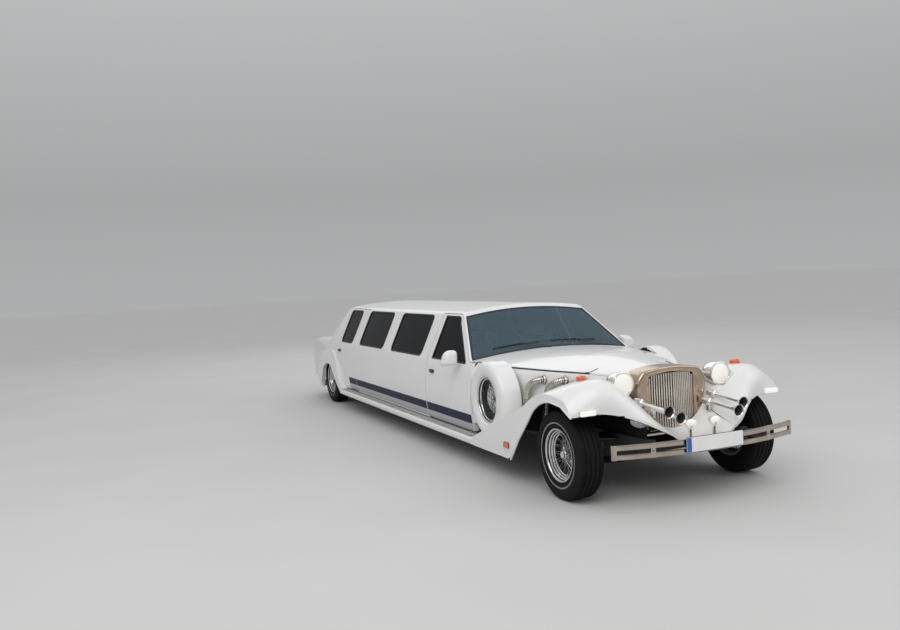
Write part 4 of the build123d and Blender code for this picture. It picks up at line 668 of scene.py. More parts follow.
def bumperShapes(x, direction):
    half, step = bumper["half"], bumper["height"] + bumper["gap"]
    low, high = bumper["low"], bumper["low"] + step + bumper["height"]
    endX = bumperFront(x, direction, half)
    plan = arc((endX, -half), (x, 0.0), (endX, half), 48)
    section = [(direction * u, v) for u, v in bumper["section"]]
    shapes = [sweep(np.column_stack([plan, np.full(len(plan), z + bumper["height"] / 2)]), section)
              for z in (low, low + step)]
    for y, wide in (bumper["endStrap"], bumper["boltStrap"]):
        front = bumperFront(x, direction, y)
        near, far = front + direction * bumper["out"], front - direction * bumper["back"]
        lean = -2 * direction * bumper["sweep"] * y / half ** 2 * wide
        corners = [(near - lean, y - wide), (near + lean, y + wide), (far + lean, y + wide),
                   (far - lean, y - wide)]
        shapes += bothSides(slab([(a, b, low - bumper["lap"]) for a, b in corners],
                                 (0, 0, high - low + 2 * bumper["lap"])))
        if (y, wide) == bumper["boltStrap"]:
            shapes += bothSides(turned(bumper["bolt"], (near, y, (low + high) / 2), (direction, 0, 0), 16,
                                       mat=1))
    return shapes


def bumperArms(x, direction, frameX):
    barX = bumperFront(x, direction, bumper["boltStrap"][0]) - direction * bumper["thick"]
    (f0, f1), (b0, b1), z = bumper["armFrame"], bumper["armBar"], bumper["low"] + bumper["armUp"]
    plan = [(frameX, f0, z), (barX, b0, z), (barX, b1, z), (frameX, f1, z)]
    return bothSides(slab(plan, (0, 0, bumper["armDepth"])))


bumperEnds = [
    # piece, X of its face, direction it faces, X of the frame's end, node
    ("frontBumper", fromAxle(bumper["end"]), 1, fromAxle(0.55), "front_bumper"),
    ("rearBumper", -fromAxle(bumper["end"]), -1, fromAxle(-8.06), "rear_bumper"),
]
for name, x, direction, frameX, node in bumperEnds:
    piece(name, "car_body", bumperShapes(x, direction), ["bumperPlating", "steel"], 32,
          stands=[node])
    piece(name + "Arms", "car_body", bumperArms(x, direction, frameX), ["chassis"], 30, 0.003)

# Blank plates; the front one has a plain blue band at its right-hand end
plates = [
    # name, X of its back, direction it faces, Y range, Y where its band ends
    ("frontPlate", fromAxle(0.7615), 1, (-0.28, 0.24), -0.235),
    ("rearPlate", -fromAxle(0.7615), -1, (-0.26, 0.26), None),
]
plateHeights = (0.42, 0.53)


def plateLayer(x, direction, depths, ys, grow, corner, mat):
    # A layer between two depths, grown past the plate's edges
    z0, z1 = plateHeights
    return roundedSlab([x + direction * depth for depth in depths], ys, (z0 - grow, z1 + grow), corner, mat)


for name, x, direction, (y0, y1), band in plates:
    shapes = [plateLayer(x, direction, (0.0, 0.002), (y0, y1), 0.0, 0.008, 0),
              plateLayer(x, direction, (-0.001, 0.0005), (y0 - 0.004, y1 + 0.004), 0.004, 0.01, 2)]
    if band is not None:
        shapes.append(plateLayer(x, direction, (0.0015, 0.0026), (y0 + 0.002, band), -0.002, 0.006, 1))
    piece(name, "car_body", shapes, ["plate", "plateBlue", "rubber"], 30)

print("bumpers and plates ready")

# Body panels: merged, smoothly shaded copies of the solids, with eased edges
panelEdges = {
    "roof": 0.004, "side_panels": 0.003, "scuttle": 0.002, "bonnet_sides": 0.0, "bonnet_lid": 0.0,
    "boot_lid": 0.003, "rear_body": 0.003, "front_wings": 0.004, "rear_wings": 0.004, "running_boards": 0.004,
    "spare_covers": 0.0, "door_front_left": 0.003, "door_front_right": 0.003, "door_rear_left": 0.003,
    "door_rear_right": 0.003,
}
panels = {}
for node, width in panelEdges.items():
    panels[node] = dressed(node, bevel=width, flatten=0.0 if node.startswith("bonnet") else 0.4)

# The wings' line on the bonnet's sides: X ahead of the front axle, height
wingLine = [(-1.5, 0.285), (-0.4, 0.812), (-0.06, 0.884), (0.3, 0.82)]


def lined(obj, mat, chosen):
    # A second finish on the faces that chosen picks from their centres and normals
    mesh = obj.data
    mesh.materials.append(finish[mat])
    centres = np.empty(len(mesh.polygons) * 3)
    normals = np.empty(len(mesh.polygons) * 3)
    mesh.polygons.foreach_get("center", centres)
    mesh.polygons.foreach_get("normal", normals)
    which = chosen(centres.reshape(-1, 3), normals.reshape(-1, 3))
    mesh.polygons.foreach_set("material_index", which.astype(int))


def linedToward(obj, mat, targets, reach, wall=0.004):
    # Lines the faces that look at a target with none of the panel in between, where the wall is thick enough
    shape = bmesh.new()
    shape.from_mesh(obj.data)
    tree = BVHTree.FromBMesh(shape)
    shape.free()

    def looking(centres, normals):
        inside = np.zeros(len(centres), bool)
        for k, (centre, normal) in enumerate(zip(centres, normals)):
            behind = tree.ray_cast(Vector(centre - normal * 0.0005), Vector(-normal), 0.08)[3]
            if behind is None or behind < wall or normal[2] > 0.5:
                continue
            for target in targets:
                way = np.array(target) - centre
                far = np.linalg.norm(way)
                if way @ normal > 0 and far < reach and target[1] * centre[1] >= 0:
                    inside[k] |= tree.ray_cast(Vector(centre + normal * 0.002), Vector(way / far),
                                               far)[0] is None
        return inside

    lined(obj, mat, looking)


def facesInward(centres, normals):
    return np.sign(centres[:, 1]) * normals[:, 1] < -0.5


def facesDown(centres, normals):
    return normals[:, 2] < -0.3


def belowWings(centres, normals):
    line = np.array(wingLine)
    return centres[:, 2] < np.interp(centres[:, 0] - frontX, line[:, 0], line[:, 1]) - 0.004


# Faces of the wings that look at the wheels are black: underseal, and painted shade inside the arches
linedToward(panels["front_wings"], "underseal", [wheelCentre["front_left"], wheelCentre["front_right"]], 1.1)
linedToward(panels["rear_wings"], "underseal", [wheelCentre["rear_left"], wheelCentre["rear_right"]], 0.9)
linedToward(panels["rear_body"], "carpet", [(rearX - 0.78, 0, 0.7)], 1.3)
lined(panels["roof"], "headliner", facesDown)
for node in ("side_panels", "door_front_left", "door_front_right", "door_rear_left", "door_rear_right"):
    lined(panels[node], "trim", facesInward)

# The bonnet's sides are cut along that line, and black below it: underseal, and painted shade under the wings
bonnetShape = bmesh.new()
bonnetShape.from_mesh(panels["bonnet_sides"].data)
for (x0, z0), (x1, z1) in zip(wingLine, wingLine[1:]):
    whole = bonnetShape.verts[:] + bonnetShape.edges[:] + bonnetShape.faces[:]
    bmesh.ops.bisect_plane(bonnetShape, geom=whole, dist=1e-5, plane_co=(fromAxle(x0), 0, z0),
                           plane_no=Vector((z0 - z1, 0, x1 - x0)))
bonnetShape.to_mesh(panels["bonnet_sides"].data)
bonnetShape.free()
lined(panels["bonnet_sides"], "underseal", belowWings)

# The wings close round the lamp bowls and the horns
nests = [
    # middle of a square from the front axle, direction it faces, half its size
    ((0.19, 0.49, 0.87), (0.27, -0.5, 0.82), 0.17), ((0.255, 0.35, 0.745), (0.33, -0.63, 0.7), 0.06),
]
# Room for the bowl: places along its axis, and radius there
scoop = ([-0.215, -0.158, -0.1, -0.02, 0.02, 0.045, 0.07, 0.12],
         [0.012, 0.07, 0.09, 0.1, 0.1015, 0.098, 0.084, 0.04])
wingTree = BVHTree.FromPolygons([v.co for v in panels["front_wings"].data.vertices],
                                [list(p.vertices) for p in panels["front_wings"].data.polygons])


def nestPatch(centre, facing, half, count=41, sink=0.0012, near=0.07, thick=0.004):
    # Heights of the wing over a square, relaxed to the mean of their neighbours where it has a cut-out
    axis = Vector(facing).normalized()
    across = axis.cross(Vector((0, 1, 0))).normalized()
    along = axis.cross(across)
    start = Vector(fromFront(centre))
    steps = np.linspace(-half, half, count)
    height, known = np.zeros((count, count)), np.zeros((count, count), bool)
    for i, a in enumerate(steps):
        for j, b in enumerate(steps):
            above = start + across * a + along * b + axis * near
            where, normal, _, far = wingTree.ray_cast(above, -axis, 2 * near)
            if where is not None and normal.dot(axis) > 0.5:
                height[i, j], known[i, j] = near - far, True
    gaps = np.pad(~known, 1)
    known &= ~(gaps[2:, 1:-1] | gaps[:-2, 1:-1] | gaps[1:-1, 2:] | gaps[1:-1, :-2])
    a, b = np.meshgrid(steps, steps, indexing="ij")
    terms = np.stack([np.ones_like(a), a, b, a * a, a * b, b * b], axis=-1)
    base = terms @ np.linalg.lstsq(terms[known], height[known], rcond=None)[0]
    rest = np.where(known, height - base, 0.0)
    for _ in range(800):
        edge = np.pad(rest, 1, mode="edge")
        mean = (edge[2:, 1:-1] + edge[:-2, 1:-1] + edge[1:-1, 2:] + edge[1:-1, :-2]) / 4
        rest = np.where(known, rest, mean)
    plane = np.array(start) + a[..., None] * np.array(across) + b[..., None] * np.array(along)
    sheet = plane + (base + rest - sink)[..., None] * np.array(axis)
    # Scooped out where it would come nearer to the lamp's axis than the room kept for the bowl
    radial = np.hypot(sheet[..., 1] - lamp["y"], sheet[..., 2] - lamp["z"])
    room = np.interp(sheet[..., 0] - fromAxle(lamp["x"]), *scoop)
    sheet -= (np.maximum(0, room - radial) / hypot(axis.y, axis.z))[..., None] * np.array(axis)
    points, faces, _ = skin(sheet, sheet - np.array(axis) * thick)
    return points, faces, (np.arange(len(faces)) >= (count - 1) ** 2).astype(int)


# The patches' inner sheets and edges are black: underseal, and painted shade under the wings
piece("lampNests", "car_body", bothSides(*[nestPatch(*row) for row in nests]), ["paint", "underseal"], 40)

# Black inner panels between the wheel arches and the radiator, cut to the wing above them: inner wings, and
# painted shade that keeps the radiator out of sight from the arches
inner = {"y": 0.455, "x": (-0.12, 0.56), "low": 0.43, "high": 0.78, "clear": 0.022, "thick": 0.003}
topLine = []
for x in fromAxle(np.linspace(*inner["x"], 18)):
    where = wingTree.ray_cast(Vector((x, inner["y"], 1.2)), Vector((0, 0, -1)), 0.9)[0]
    if where is not None:
        top = min(where.z, inner["high"]) - inner["clear"]
        topLine.append((x, inner["y"], max(inner["low"] + 0.01, top)))
feet = [(x, inner["y"], inner["low"]) for x in (topLine[0][0], topLine[-1][0])]
innerPanel = slab(feet[:1] + topLine + feet[1:], (0, -inner["thick"], 0))
piece("innerPanels", "car_body", bothSides(innerPanel), ["underseal"], 30)

# The cabin's side: an arc from the sill to the belt, then straight up to the roof
cabin = {"sill": (0.93, 0.3), "waist": (0.962, 0.61), "belt": (0.918, 0.935), "rail": (0.706, 1.386)}
sideArc = arc(cabin["sill"], cabin["waist"], cabin["belt"], 40)


def sideY(z):
    # Half-width of the cabin at a height
    z = np.asarray(z, float)
    (beltY, beltZ), (railY, railZ) = cabin["belt"], cabin["rail"]
    above = beltY + (railY - beltY) * (z - beltZ) / (railZ - beltZ)
    return np.where(z > beltZ, above, np.interp(z, sideArc[:, 1], sideArc[:, 0]))


def sideStrip(x0, x1, z0, z1, proud=0.0012, mat=0, slant0=0.0, slant1=0.0):
    # A thin strip on the side; its ends lean by slant0 and slant1 from the foot to the top
    z = np.linspace(z0, z1, 9)[:, None]
    share = (z - z0) / (z1 - z0)
    columns = np.linspace(0, 1, 14)[None]
    start, stop = x0 + slant0 * share, x1 + slant1 * share
    x = start + (stop - start) * columns
    flat = np.stack([x, np.broadcast_to(sideY(z), x.shape), np.broadcast_to(z, x.shape)], axis=2)
    return skin(flat + np.array([0, proud, 0]), flat - np.array([0, 0.0015, 0]), mat)


stripes = {
    "navy": (0.387, 0.474), "silver": (0.318, 0.387),
    # body of the left side, X from and to ahead of the front axle
    "runs": [("front_door_left", -1.604, -2.776), ("car_body", -2.796, -5.439),
             ("rear_door_left", -5.454, -5.8)],
}
for body, x0, x1 in stripes["runs"]:
    low, high = stripes["silver"][0], stripes["navy"][1]
    strips = [sideStrip(fromAxle(x0), fromAxle(x1), *stripes["navy"], mat=0),
              sideStrip(fromAxle(x0), fromAxle(x1), *stripes["silver"], mat=1)]
    if body == "car_body":
        piece("sideStripes", body, bothSides(*strips), ["navy", "silver"], 30)
    else:
        for side, hand in sides:
            name = body.replace("left", side)
            piece("stripes." + name, name, onHand(strips, hand), ["navy", "silver"], 30)


# Black rubber round each side window, and a thin bright bead outside it
def onSide(plane, proud=0.0):
    # Points on the slanted side from (X ahead of the axle, Z) pairs, raised by proud along its normal
    (beltY, beltZ), (railY, railZ) = cabin["belt"], cabin["rail"]
    lean = unit(np.array([0.0, railZ - beltZ, beltY - railY]))
    points = fromFront(np.column_stack([plane[:, 0], sideY(plane[:, 1]), plane[:, 1]]))
    return points + lean * proud, lean


def frameShapes(plane):
    path, normal = onSide(plane)
    rubber = sweep(path, [(-0.009, -0.006), (0.01, -0.006), (0.01, 0.0008), (0.007, 0.0022), (-0.006, 0.0022),
                          (-0.009, 0.0004)], normal, True)
    bead = sweep(path, [(0.0085, 0.0), (0.0125, 0.0), (0.0125, 0.0014), (0.0105, 0.0026), (0.0085, 0.0018)],
                 normal, True, 1)
    return [rubber, bead]


def paneOutline(front, rear, low=0.948, high=1.378, corner=0.06):
    k = corner * (1 - cos(pi / 4))
    steps = [(front - corner, low), (rear + corner, low), ((rear + k, low + k), (rear, low + corner)),
             (rear, high - corner), ((rear + k, high - k), (rear + corner, high)), (front - corner, high),
             ((front - k, high - k), (front, high - corner)), (front, low + corner),
             ((front - k, low + k), (front - corner, low))]
    return outline(steps, 6)[:-1]


def frontPaneOutline(low=0.948, high=1.378, rear=-2.67, toe=-1.772):
    top = toe - (high - low - 0.055) * 1.27
    steps = [(toe - 0.02, low), (rear + 0.014, low), ((rear + 0.004, low + 0.004), (rear, low + 0.014)),
             (rear, high - 0.014), ((rear + 0.004, high - 0.004), (rear + 0.014, high)), (top - 0.092, high),
             ((top - 0.028, high - 0.016), (top + 0.012, high - 0.062)), (toe - 0.012, low + 0.008),
             (toe - 0.02, low)]
    return outline(steps, 6)[:-1]


windows = [("frontDoor", "front_door_left", frontPaneOutline()),
           ("rearDoor", "rear_door_left", paneOutline(-5.69, -6.25)), ("lounge", "car_body", None)]
for name, body, plane in windows:
    if plane is None:
        shapes = frameShapes(paneOutline(-3.01, -4.05)) + frameShapes(paneOutline(-4.36, -5.36))
        piece("windowFrames." + name, body, bothSides(*shapes), ["rubber", "chrome"], 40)
        continue
    for side, hand in sides:
        piece("windowFrame." + name + "." + side, body.replace("left", side),
              onHand(frameShapes(plane), hand), ["rubber", "chrome"], 40)

# Door handles: a dark escutcheon with a pull lever and a lock
handle = {
    # body, X ahead of the axle, height
    "places": [("front_door_left", -2.615, 0.811), ("rear_door_left", -6.262, 0.818)],
    "plate": [(-0.055, -0.02), ((-0.068, 0.0), (-0.055, 0.02)), (0.055, 0.02), ((0.068, 0.0), (0.055, -0.02)),
              (-0.055, -0.02)],
    # along and out from the middle, 4 mm above it
    "lever": [(-0.052, 0.001), (-0.047, 0.012), (-0.036, 0.0165), (0.0, 0.018), (0.036, 0.0165),
              (0.05, 0.011)],
    "leverSection": [(-0.0035, -0.009), (0.0035, -0.009), (0.005, 0.0), (0.0035, 0.009), (-0.0035, 0.009),
                     (-0.0045, 0.0)],
    "lock": [(-0.004, 0.0), (-0.004, 0.0075), (0.0045, 0.0075), (0.006, 0.006), (0.006, 0.0)],
    "lockAt": (0.03, 0.0, -0.037),
}


def handleShapes(x, z):
    spot = fromFront((x, float(sideY(z)), z))
    plate = outline(handle["plate"], 6)[:-1]
    base = slab([spot + (a, -0.003, b) for a, b in plate], (0, 0.006, 0))
    lever = sweep([spot + (a, b, 0.004) for a, b in handle["lever"]], handle["leverSection"])
    return [base, lever, turned(handle["lock"], spot + handle["lockAt"], (0, 1, 0), 20)]


for body, x, z in handle["places"]:
    for side, hand in sides:
        name = body.replace("left", side)
        piece("handle." + name, name, onHand(handleShapes(x, z), hand), ["handle"], 40)

# Ribbed side pipes: radius = plain + rib * a wave along the run, plain again inside the collars
pipes = {
    # distance behind the front axle, Y of the bonnet's side there
    "rows": [(0.69, 0.64), (0.491, 0.546), (0.326, 0.454)],
    # the run from there: X, Y out from the bonnet's side, height
    "run": [(0.0, -0.02, 0.866), (-0.03, 0.078, 0.866), (-0.14, 0.108, 0.79), (-0.185, 0.112, 0.5)],
    "radius": 0.0305, "rib": 0.0018, "pitch": 0.0125, "step": 0.0031, "bend": 0.075, "around": 22,
    "grooveBelow": 0.9,
    "collar": [(-0.004, 0.03), (-0.004, 0.047), (0.004, 0.0475), (0.0085, 0.0455), (0.011, 0.041),
               (0.0125, 0.033), (0.0125, 0.03)],
}


def pipeShapes(distance, wall):
    path = bentPath(fromFront(pipes["run"]) + (-distance, wall, 0.0), pipes["bend"], pipes["step"])
    wave = np.abs(np.sin(np.arange(len(path)) * pipes["step"] * pi / pipes["pitch"]))
    swell = pipes["radius"] + pipes["rib"] * wave
    points, faces, _ = sweep(path, circle(1.0, pipes["around"]), (1, 0.2, 0), swell=swell)
    groove = wave[:-1] + wave[1:] < pipes["grooveBelow"]
    pipe = (points, faces, np.repeat(groove, pipes["around"]).astype(int).tolist() + [0, 0])
    collar = turned(pipes["collar"], path[2] + (0.0, 0.02, 0.0), path[8] - path[2], 32, True)
    return [pipe, collar]


piece("sidePipes", "car_body", bothSides(*[s for row in pipes["rows"] for s in pipeShapes(*row)]),
      ["pipe", "pipeShade"], 60, stands=["side_pipes"])

# Small lamps: amber bullets on the wings, white lamps under their lips, pale lamps on posts
small = {
    "turn": [(-0.053, 0.0), (-0.052, 0.006), (-0.046, 0.014), (-0.034, 0.0215), (-0.018, 0.0265),
             (0.0, 0.0285), (0.03, 0.029), (0.0345, 0.0295), (0.0345, 0.0275), (0.042, 0.026), (0.048, 0.021),
             (0.051, 0.012), (0.052, 0.0)],
    "fog": [(-0.062, 0.0), (-0.061, 0.01), (-0.053, 0.024), (-0.038, 0.0345), (-0.018, 0.0395),
            (-0.004, 0.041), (0.004, 0.0415), (0.0065, 0.0405), (0.0065, 0.037), (0.009, 0.0355),
            (0.0125, 0.027), (0.015, 0.013), (0.0155, 0.0)],
    # height above the apron, radius
    "fogNeck": [(0.0, 0.0), (0.0, 0.03), (0.006, 0.0285), (0.012, 0.021), (0.03, 0.0165), (0.075, 0.015),
                (0.098, 0.0185), (0.112, 0.027), (0.124, 0.031), (0.132, 0.0)],
    "turnAt": (0.092, 0.754, 0.952), "turnFoot": [(0.002, 0, -0.067), (0, 0, -0.042), (0, 0, -0.017)],
    # the fog lamp is wider than high; its lens starts at this row
    "fogAt": (0.606, 0.113, 0.6), "fogSize": (1, 1.1, 0.78), "fogLens": 6, "neckAt": (0.589, 0.113, 0.458),
    # the position lamp: Y and height round it, X of its back, its split and its front, size of its lens
    "lip": [(0.815, 0.708), (0.93, 0.708), ((0.938, 0.71), (0.94, 0.718)), (0.938, 0.742),
            ((0.936, 0.747), (0.93, 0.748)), (0.815, 0.748), ((0.809, 0.747), (0.807, 0.742)), (0.807, 0.716),
            ((0.808, 0.71), (0.815, 0.708))],
    "lipX": (0.33, 0.372, 0.398), "lipMiddle": (0.873, 0.728), "lensSize": (0.97, 0.94),
}


def ellipse(half, height, count=16):
    return circle(1.0, count) * (half, height)


turnFoot = sweep([fromFront(small["turnAt"]) + step for step in small["turnFoot"]], ellipse(0.022, 0.011),
                 (0, 1, 0))
turnLamp = turned(small["turn"], fromFront(small["turnAt"]), (1, 0, 0), 32, mat=1)
piece("turnLamps", "car_body", bothSides(turnLamp, turnFoot), ["paint", "amber"], 40,
      stands=["small_lamps"])
points, faces, _ = turned(small["fog"], axis=(1, 0, 0), around=32)
fogCap = moved((points, faces, (faces[:, 0] // 32 >= small["fogLens"]).astype(int).tolist()),
               fromFront(small["fogAt"]), small["fogSize"])
fogNeck = turned(small["fogNeck"], fromFront(small["neckAt"]), (0, 0, 1), 24, mat=2)
piece("fogLamps", "car_body", bothSides(fogCap, fogNeck), ["fogCream", "lampWhite", "chrome"], 40)
lip = outline(small["lip"], 4)[:-1]
lensLip = (lip - small["lipMiddle"]) * small["lensSize"] + small["lipMiddle"]
backX, splitX, frontEndX = small["lipX"]
lipBack = slab([(fromAxle(backX), y, z) for y, z in lip], (splitX - backX, 0, 0))
lipLens = slab([(fromAxle(splitX), y, z) for y, z in lensLip], (frontEndX - splitX, 0, 0), 1)
piece("positionLamps", "car_body", bothSides(lipBack, lipLens), ["chrome", "lampWhite"], 40, 0.007)
print("side pieces ready")

# Mirrors: a domed shell with the glass set in its rear, on a flat foot from the door
mirror = {
    "x": -1.893, "middle": (1.035, 1.0),
    "outline": [(0.953, 0.94), (0.953, 1.04), ((0.961, 1.068), (0.992, 1.077)),
                ((1.062, 1.062), (1.102, 0.985)), ((1.111, 0.948), (1.09, 0.928)), (0.966, 0.928),
                ((0.956, 0.931), (0.953, 0.94))],
    # ahead of the middle, share of the outline's size
    "rows": [(-0.036, 0.86), (-0.045, 0.885), (-0.046, 0.93), (-0.0445, 0.975), (-0.04, 1.0), (-0.02, 1.003),
             (0.0, 0.985), (0.018, 0.945), (0.032, 0.88), (0.042, 0.78), (0.048, 0.62), (0.0505, 0.4)],
    "foot": [(0.88, 0.924), (0.91, 0.933), (0.94, 0.94), (0.99, 0.944)],
}


def mirrorShapes():
    # Rings of the outline, each scaled about its middle; the flat face at the rear is the glass
    centre = np.array(mirror["middle"])
    shellEdge = outline(mirror["outline"], 8)[:-1]
    rows = []
    for ahead, share in mirror["rows"]:
        ring = centre + (shellEdge - centre) * share
        rows.append(np.column_stack([np.full(len(ring), fromAxle(mirror["x"]) + ahead), ring]))
    count = len(shellEdge)
    faces = gridFaces(len(rows), count, False, True).tolist()
    which = [0] * len(faces) + [1, 0]
    faces += [list(range(count))[::-1], list(range((len(rows) - 1) * count, len(rows) * count))]
    foot = sweep([(fromAxle(mirror["x"]), y, z) for y, z in mirror["foot"]], ellipse(0.024, 0.008, 20))
    return [(np.vstack(rows), faces, which), foot]


for side, hand in sides:
    piece("mirror." + side, "front_door_" + side, onHand(mirrorShapes(), hand), ["paint", "mirrorGlass"], 34,
          stands=["mirror_" + side])

# Amber markers low on the wings, in dark frames
marker = {"x": (-0.82, -0.73), "z": (0.302, 0.345), "y": 0.9985, "lean": 0.006}


def markerPart(inset, depth, mat):
    (x0, x1), (z0, z1), lean = marker["x"], marker["z"], marker["lean"]
    corners = [(x0 + inset, z0 + inset), (x1 - inset, z0 + inset), (x1 - inset + lean, z1 - inset),
               (x0 + inset + lean, z1 - inset)]
    return slab([(fromAxle(x), marker["y"], z) for x, z in corners], (0, depth, 0), mat)


piece("sideMarkers", "car_body", bothSides(markerPart(-0.004, 0.006, 0), markerPart(0.0, 0.016, 1)),
      ["rubber", "amber"], 40, 0.0025)

# Rolled edges along the wheel arches
arches = {
    "front": [(-0.711, 0.209), (-0.551, 0.399), (-0.33, 0.618), ((-0.19, 0.732), (0.02, 0.788)),
              (0.19, 0.772), (0.337, 0.698)],
    "rear": [(0.68, 0.25), (0.45, 0.448), ((0.16, 0.606), (-0.18, 0.5)), (-0.318, 0.274)],
    # Y of the rear wings' outside by height
    "bulge": [(0.987, 0.15), (1.005, 0.33), (1.0095, 0.45), (1.0065, 0.56), (0.9955, 0.66), (0.977, 0.74)],
    "frontY": 0.9955,
}
archX, archZ = outline(arches["front"], 10).T
frontEdge = np.stack([frontX + archX, np.full(len(archX), arches["frontY"]), archZ], axis=1)
archX, archZ = outline(arches["rear"], 12).T
bulge = np.array(arches["bulge"])
rearEdge = np.stack([rearX + archX, np.interp(archZ, bulge[:, 1], bulge[:, 0]), archZ], axis=1)
piece("rolledEdges", "car_body", bothSides(tube(frontEdge, 0.0095, 12, up=(0, 1, 0)),
                                           tube(rearEdge, 0.008, 12, up=(0, 1, 0))), ["paint"], 50)

# Windscreen and rear window: rubber round the glass, and the wipers
screen = {
    # ahead of the front axle at the base, height of the base, run back per rise, bow radius and its rise
    "front": (-1.708, 0.989, -1.376, 4.504, 0.084), "rear": (-6.904, 0.9, 0.918, None, 0.0),
    # Y of the pillar's edge, height there, Y per rise; greatest Y beside the boot's deck
    "pillar": (0.89, 0.935, -0.47), "widest": 0.852,
    # crowned edges: height in the middle, drop, Y where it has dropped so far
    "roof": (1.433, 0.047, 0.626), "cowl": (1.047, 0.071, 0.9), "deck": (0.979, 0.026, 0.858),
    "top": 1.38, "seat": 0.004,
    "rubber": [(-0.01, -0.005), (0.01, -0.005), (0.01, 0.0015), (0.006, 0.004), (-0.006, 0.004),
               (-0.01, 0.0015)],
}


def crowned(rule, y):
    # Height of a crowned edge: its middle height less the drop of the circle that falls by drop at reach
    top, drop, reach = rule
    radius = (reach ** 2 + drop ** 2) / (2 * drop)
    return top - radius + np.sqrt(radius ** 2 - np.asarray(y, float) ** 2)


def onScreen(rule, y, z, out=0.0):
    # Points on the raked glass at half-width y and height z, raised by out along its normal
    base, baseZ, slope, bowRadius, bow = rule
    y, z = np.broadcast_arrays(np.asarray(y, float), np.asarray(z, float))
    x = fromAxle(base) + slope * (z - baseZ) + bow
    if bowRadius:
        x = x - bowRadius + np.sqrt(bowRadius ** 2 - y ** 2)
    normal = unit(np.array([1.0 if slope < 0 else -1.0, 0.0, abs(slope)]))
    return np.stack([x, y, z], axis=-1) + normal * out, normal


def screenRubber(rule, foot):
    # A closed path: along the foot, up one pillar, along the roof and down the other pillar
    wall, wallZ, lean = screen["pillar"]
    z = np.linspace(float(crowned(screen[foot], 0.84)) + screen["seat"], screen["top"], 24)
    y = wall + lean * (z - wallZ)
    y = np.minimum(y, screen["widest"]) if foot == "deck" else y
    across = np.linspace(y[-1] - 0.03, -y[-1] + 0.03, 25)
    along = np.linspace(-y[0] + 0.02, y[0] - 0.02, 31)
    ys = np.concatenate([along, y, across, -y[::-1]])
    zs = np.concatenate([crowned(screen[foot], along) + screen["seat"], z, crowned(screen["roof"], across),
                         z[::-1]])
    path, normal = onScreen(screen[rule], ys, zs)
    return sweep(path, screen["rubber"], normal, True)


piece("screenRubbers", "car_body", [screenRubber("front", "cowl"), screenRubber("rear", "deck")], ["rubber"],
      40)


wiper = {
    # Y of the pivot, of the blade's outer and of its inner end
    "runs": [(0.62, 0.55, 0.03), (-0.03, -0.1, -0.62)],
    "blade": [(-0.0012, -0.004), (0.0012, -0.004), (0.002, 0.003), (-0.002, 0.003)],
    "spine": [(-0.004, -0.002), (0.004, -0.002), (0.003, 0.003), (-0.003, 0.003)],
    "pivot": [(-0.03, 0.0), (-0.03, 0.012), (0.004, 0.011), (0.009, 0.007), (0.0095, 0.0)],
}


def wiperShapes(pivot, near, far):
    # Parts lie above the cowl's edge by up, and off the glass by out
    def place(y, up, out):
        return onScreen(screen["front"], y, crowned(screen["cowl"], y) + up, out)

    y, middleY = np.linspace(near, far, 16), (near + far) / 2
    (blade, normal), (spine, _) = place(y, 0.05, 0.006), place(y, 0.052, 0.012)
    base = place(pivot, 0.0, 0.0)[0] + (0.045, 0.0, 0.012)
    kneeY = pivot * 0.7 + middleY * 0.3
    knee, _ = onScreen(screen["front"], kneeY, crowned(screen["cowl"], pivot) + 0.03, 0.026)
    arm = bentPath([base, knee, place(middleY, 0.052, 0.02)[0]], 0.04, 0.02)
    return [sweep(blade, wiper["blade"], normal), sweep(spine, wiper["spine"], normal), tube(arm, 0.0045, 8),
            turned(wiper["pivot"], base, normal, 16)]


piece("wipers", "car_body", [s for run in wiper["runs"] for s in wiperShapes(*run)], ["handle"], 40)

# Rubber seal in the gap round the bonnet lid
bonnetEdge = [(-1.594, 0.851, 0.971), (-1.116, 0.7785, 0.9605), (-0.661, 0.6155, 0.9495),
              (-0.3, 0.4235, 0.9355), (0.052, 0.2955, 0.9255)]
sealPath = fromFront(bonnetEdge) - (0.0, 0.0, 0.004)
sealSection = [(-0.0042, -0.008), (0.0042, -0.008), (0.0042, 0.0005), (0.0, 0.0022), (-0.0042, 0.0005)]
seals = bothSides(sweep(sealPath[:4], sealSection), sweep(sealPath[3:], sealSection, mat=1))
piece("bonnetSeals", "car_body", seals, ["rubber", "paint"], 40)
# X ahead of the axle, Y and height of the dark moulding round the lid's corner
corner = [(-0.335, 0.442, 0.9372), (-0.309, 0.4255, 0.939), (-0.301, 0.405, 0.9452), (-0.3, 0.375, 0.9555),
          (-0.302, 0.342, 0.9655)]
hook = bentPath(fromFront(corner), 0.008, 0.004)
piece("bonnetCorners", "bonnet", bothSides(tube(hook, 0.0032, 8)), ["rubber"], 50)

# Running boards: ribbed tread strips on top
tread = {
    "x": (-6.04, -1.53), "first": 0.947, "pitch": 0.0115, "count": 6, "top": 0.2832,
    "section": [(-0.0035, -0.002), (-0.0025, 0.0022), (0.0025, 0.0022), (0.0035, -0.002)],
}
ribs = []
for i in range(tread["count"]):
    spot = fromFront((tread["x"][0], tread["first"] + i * tread["pitch"], tread["top"]))
    ribs.append(slab([spot + (0, a, b) for a, b in tread["section"]], (tread["x"][1] - tread["x"][0], 0, 0)))
piece("boardRibs", "car_body", bothSides(*ribs), ["boardRubber"], 30)

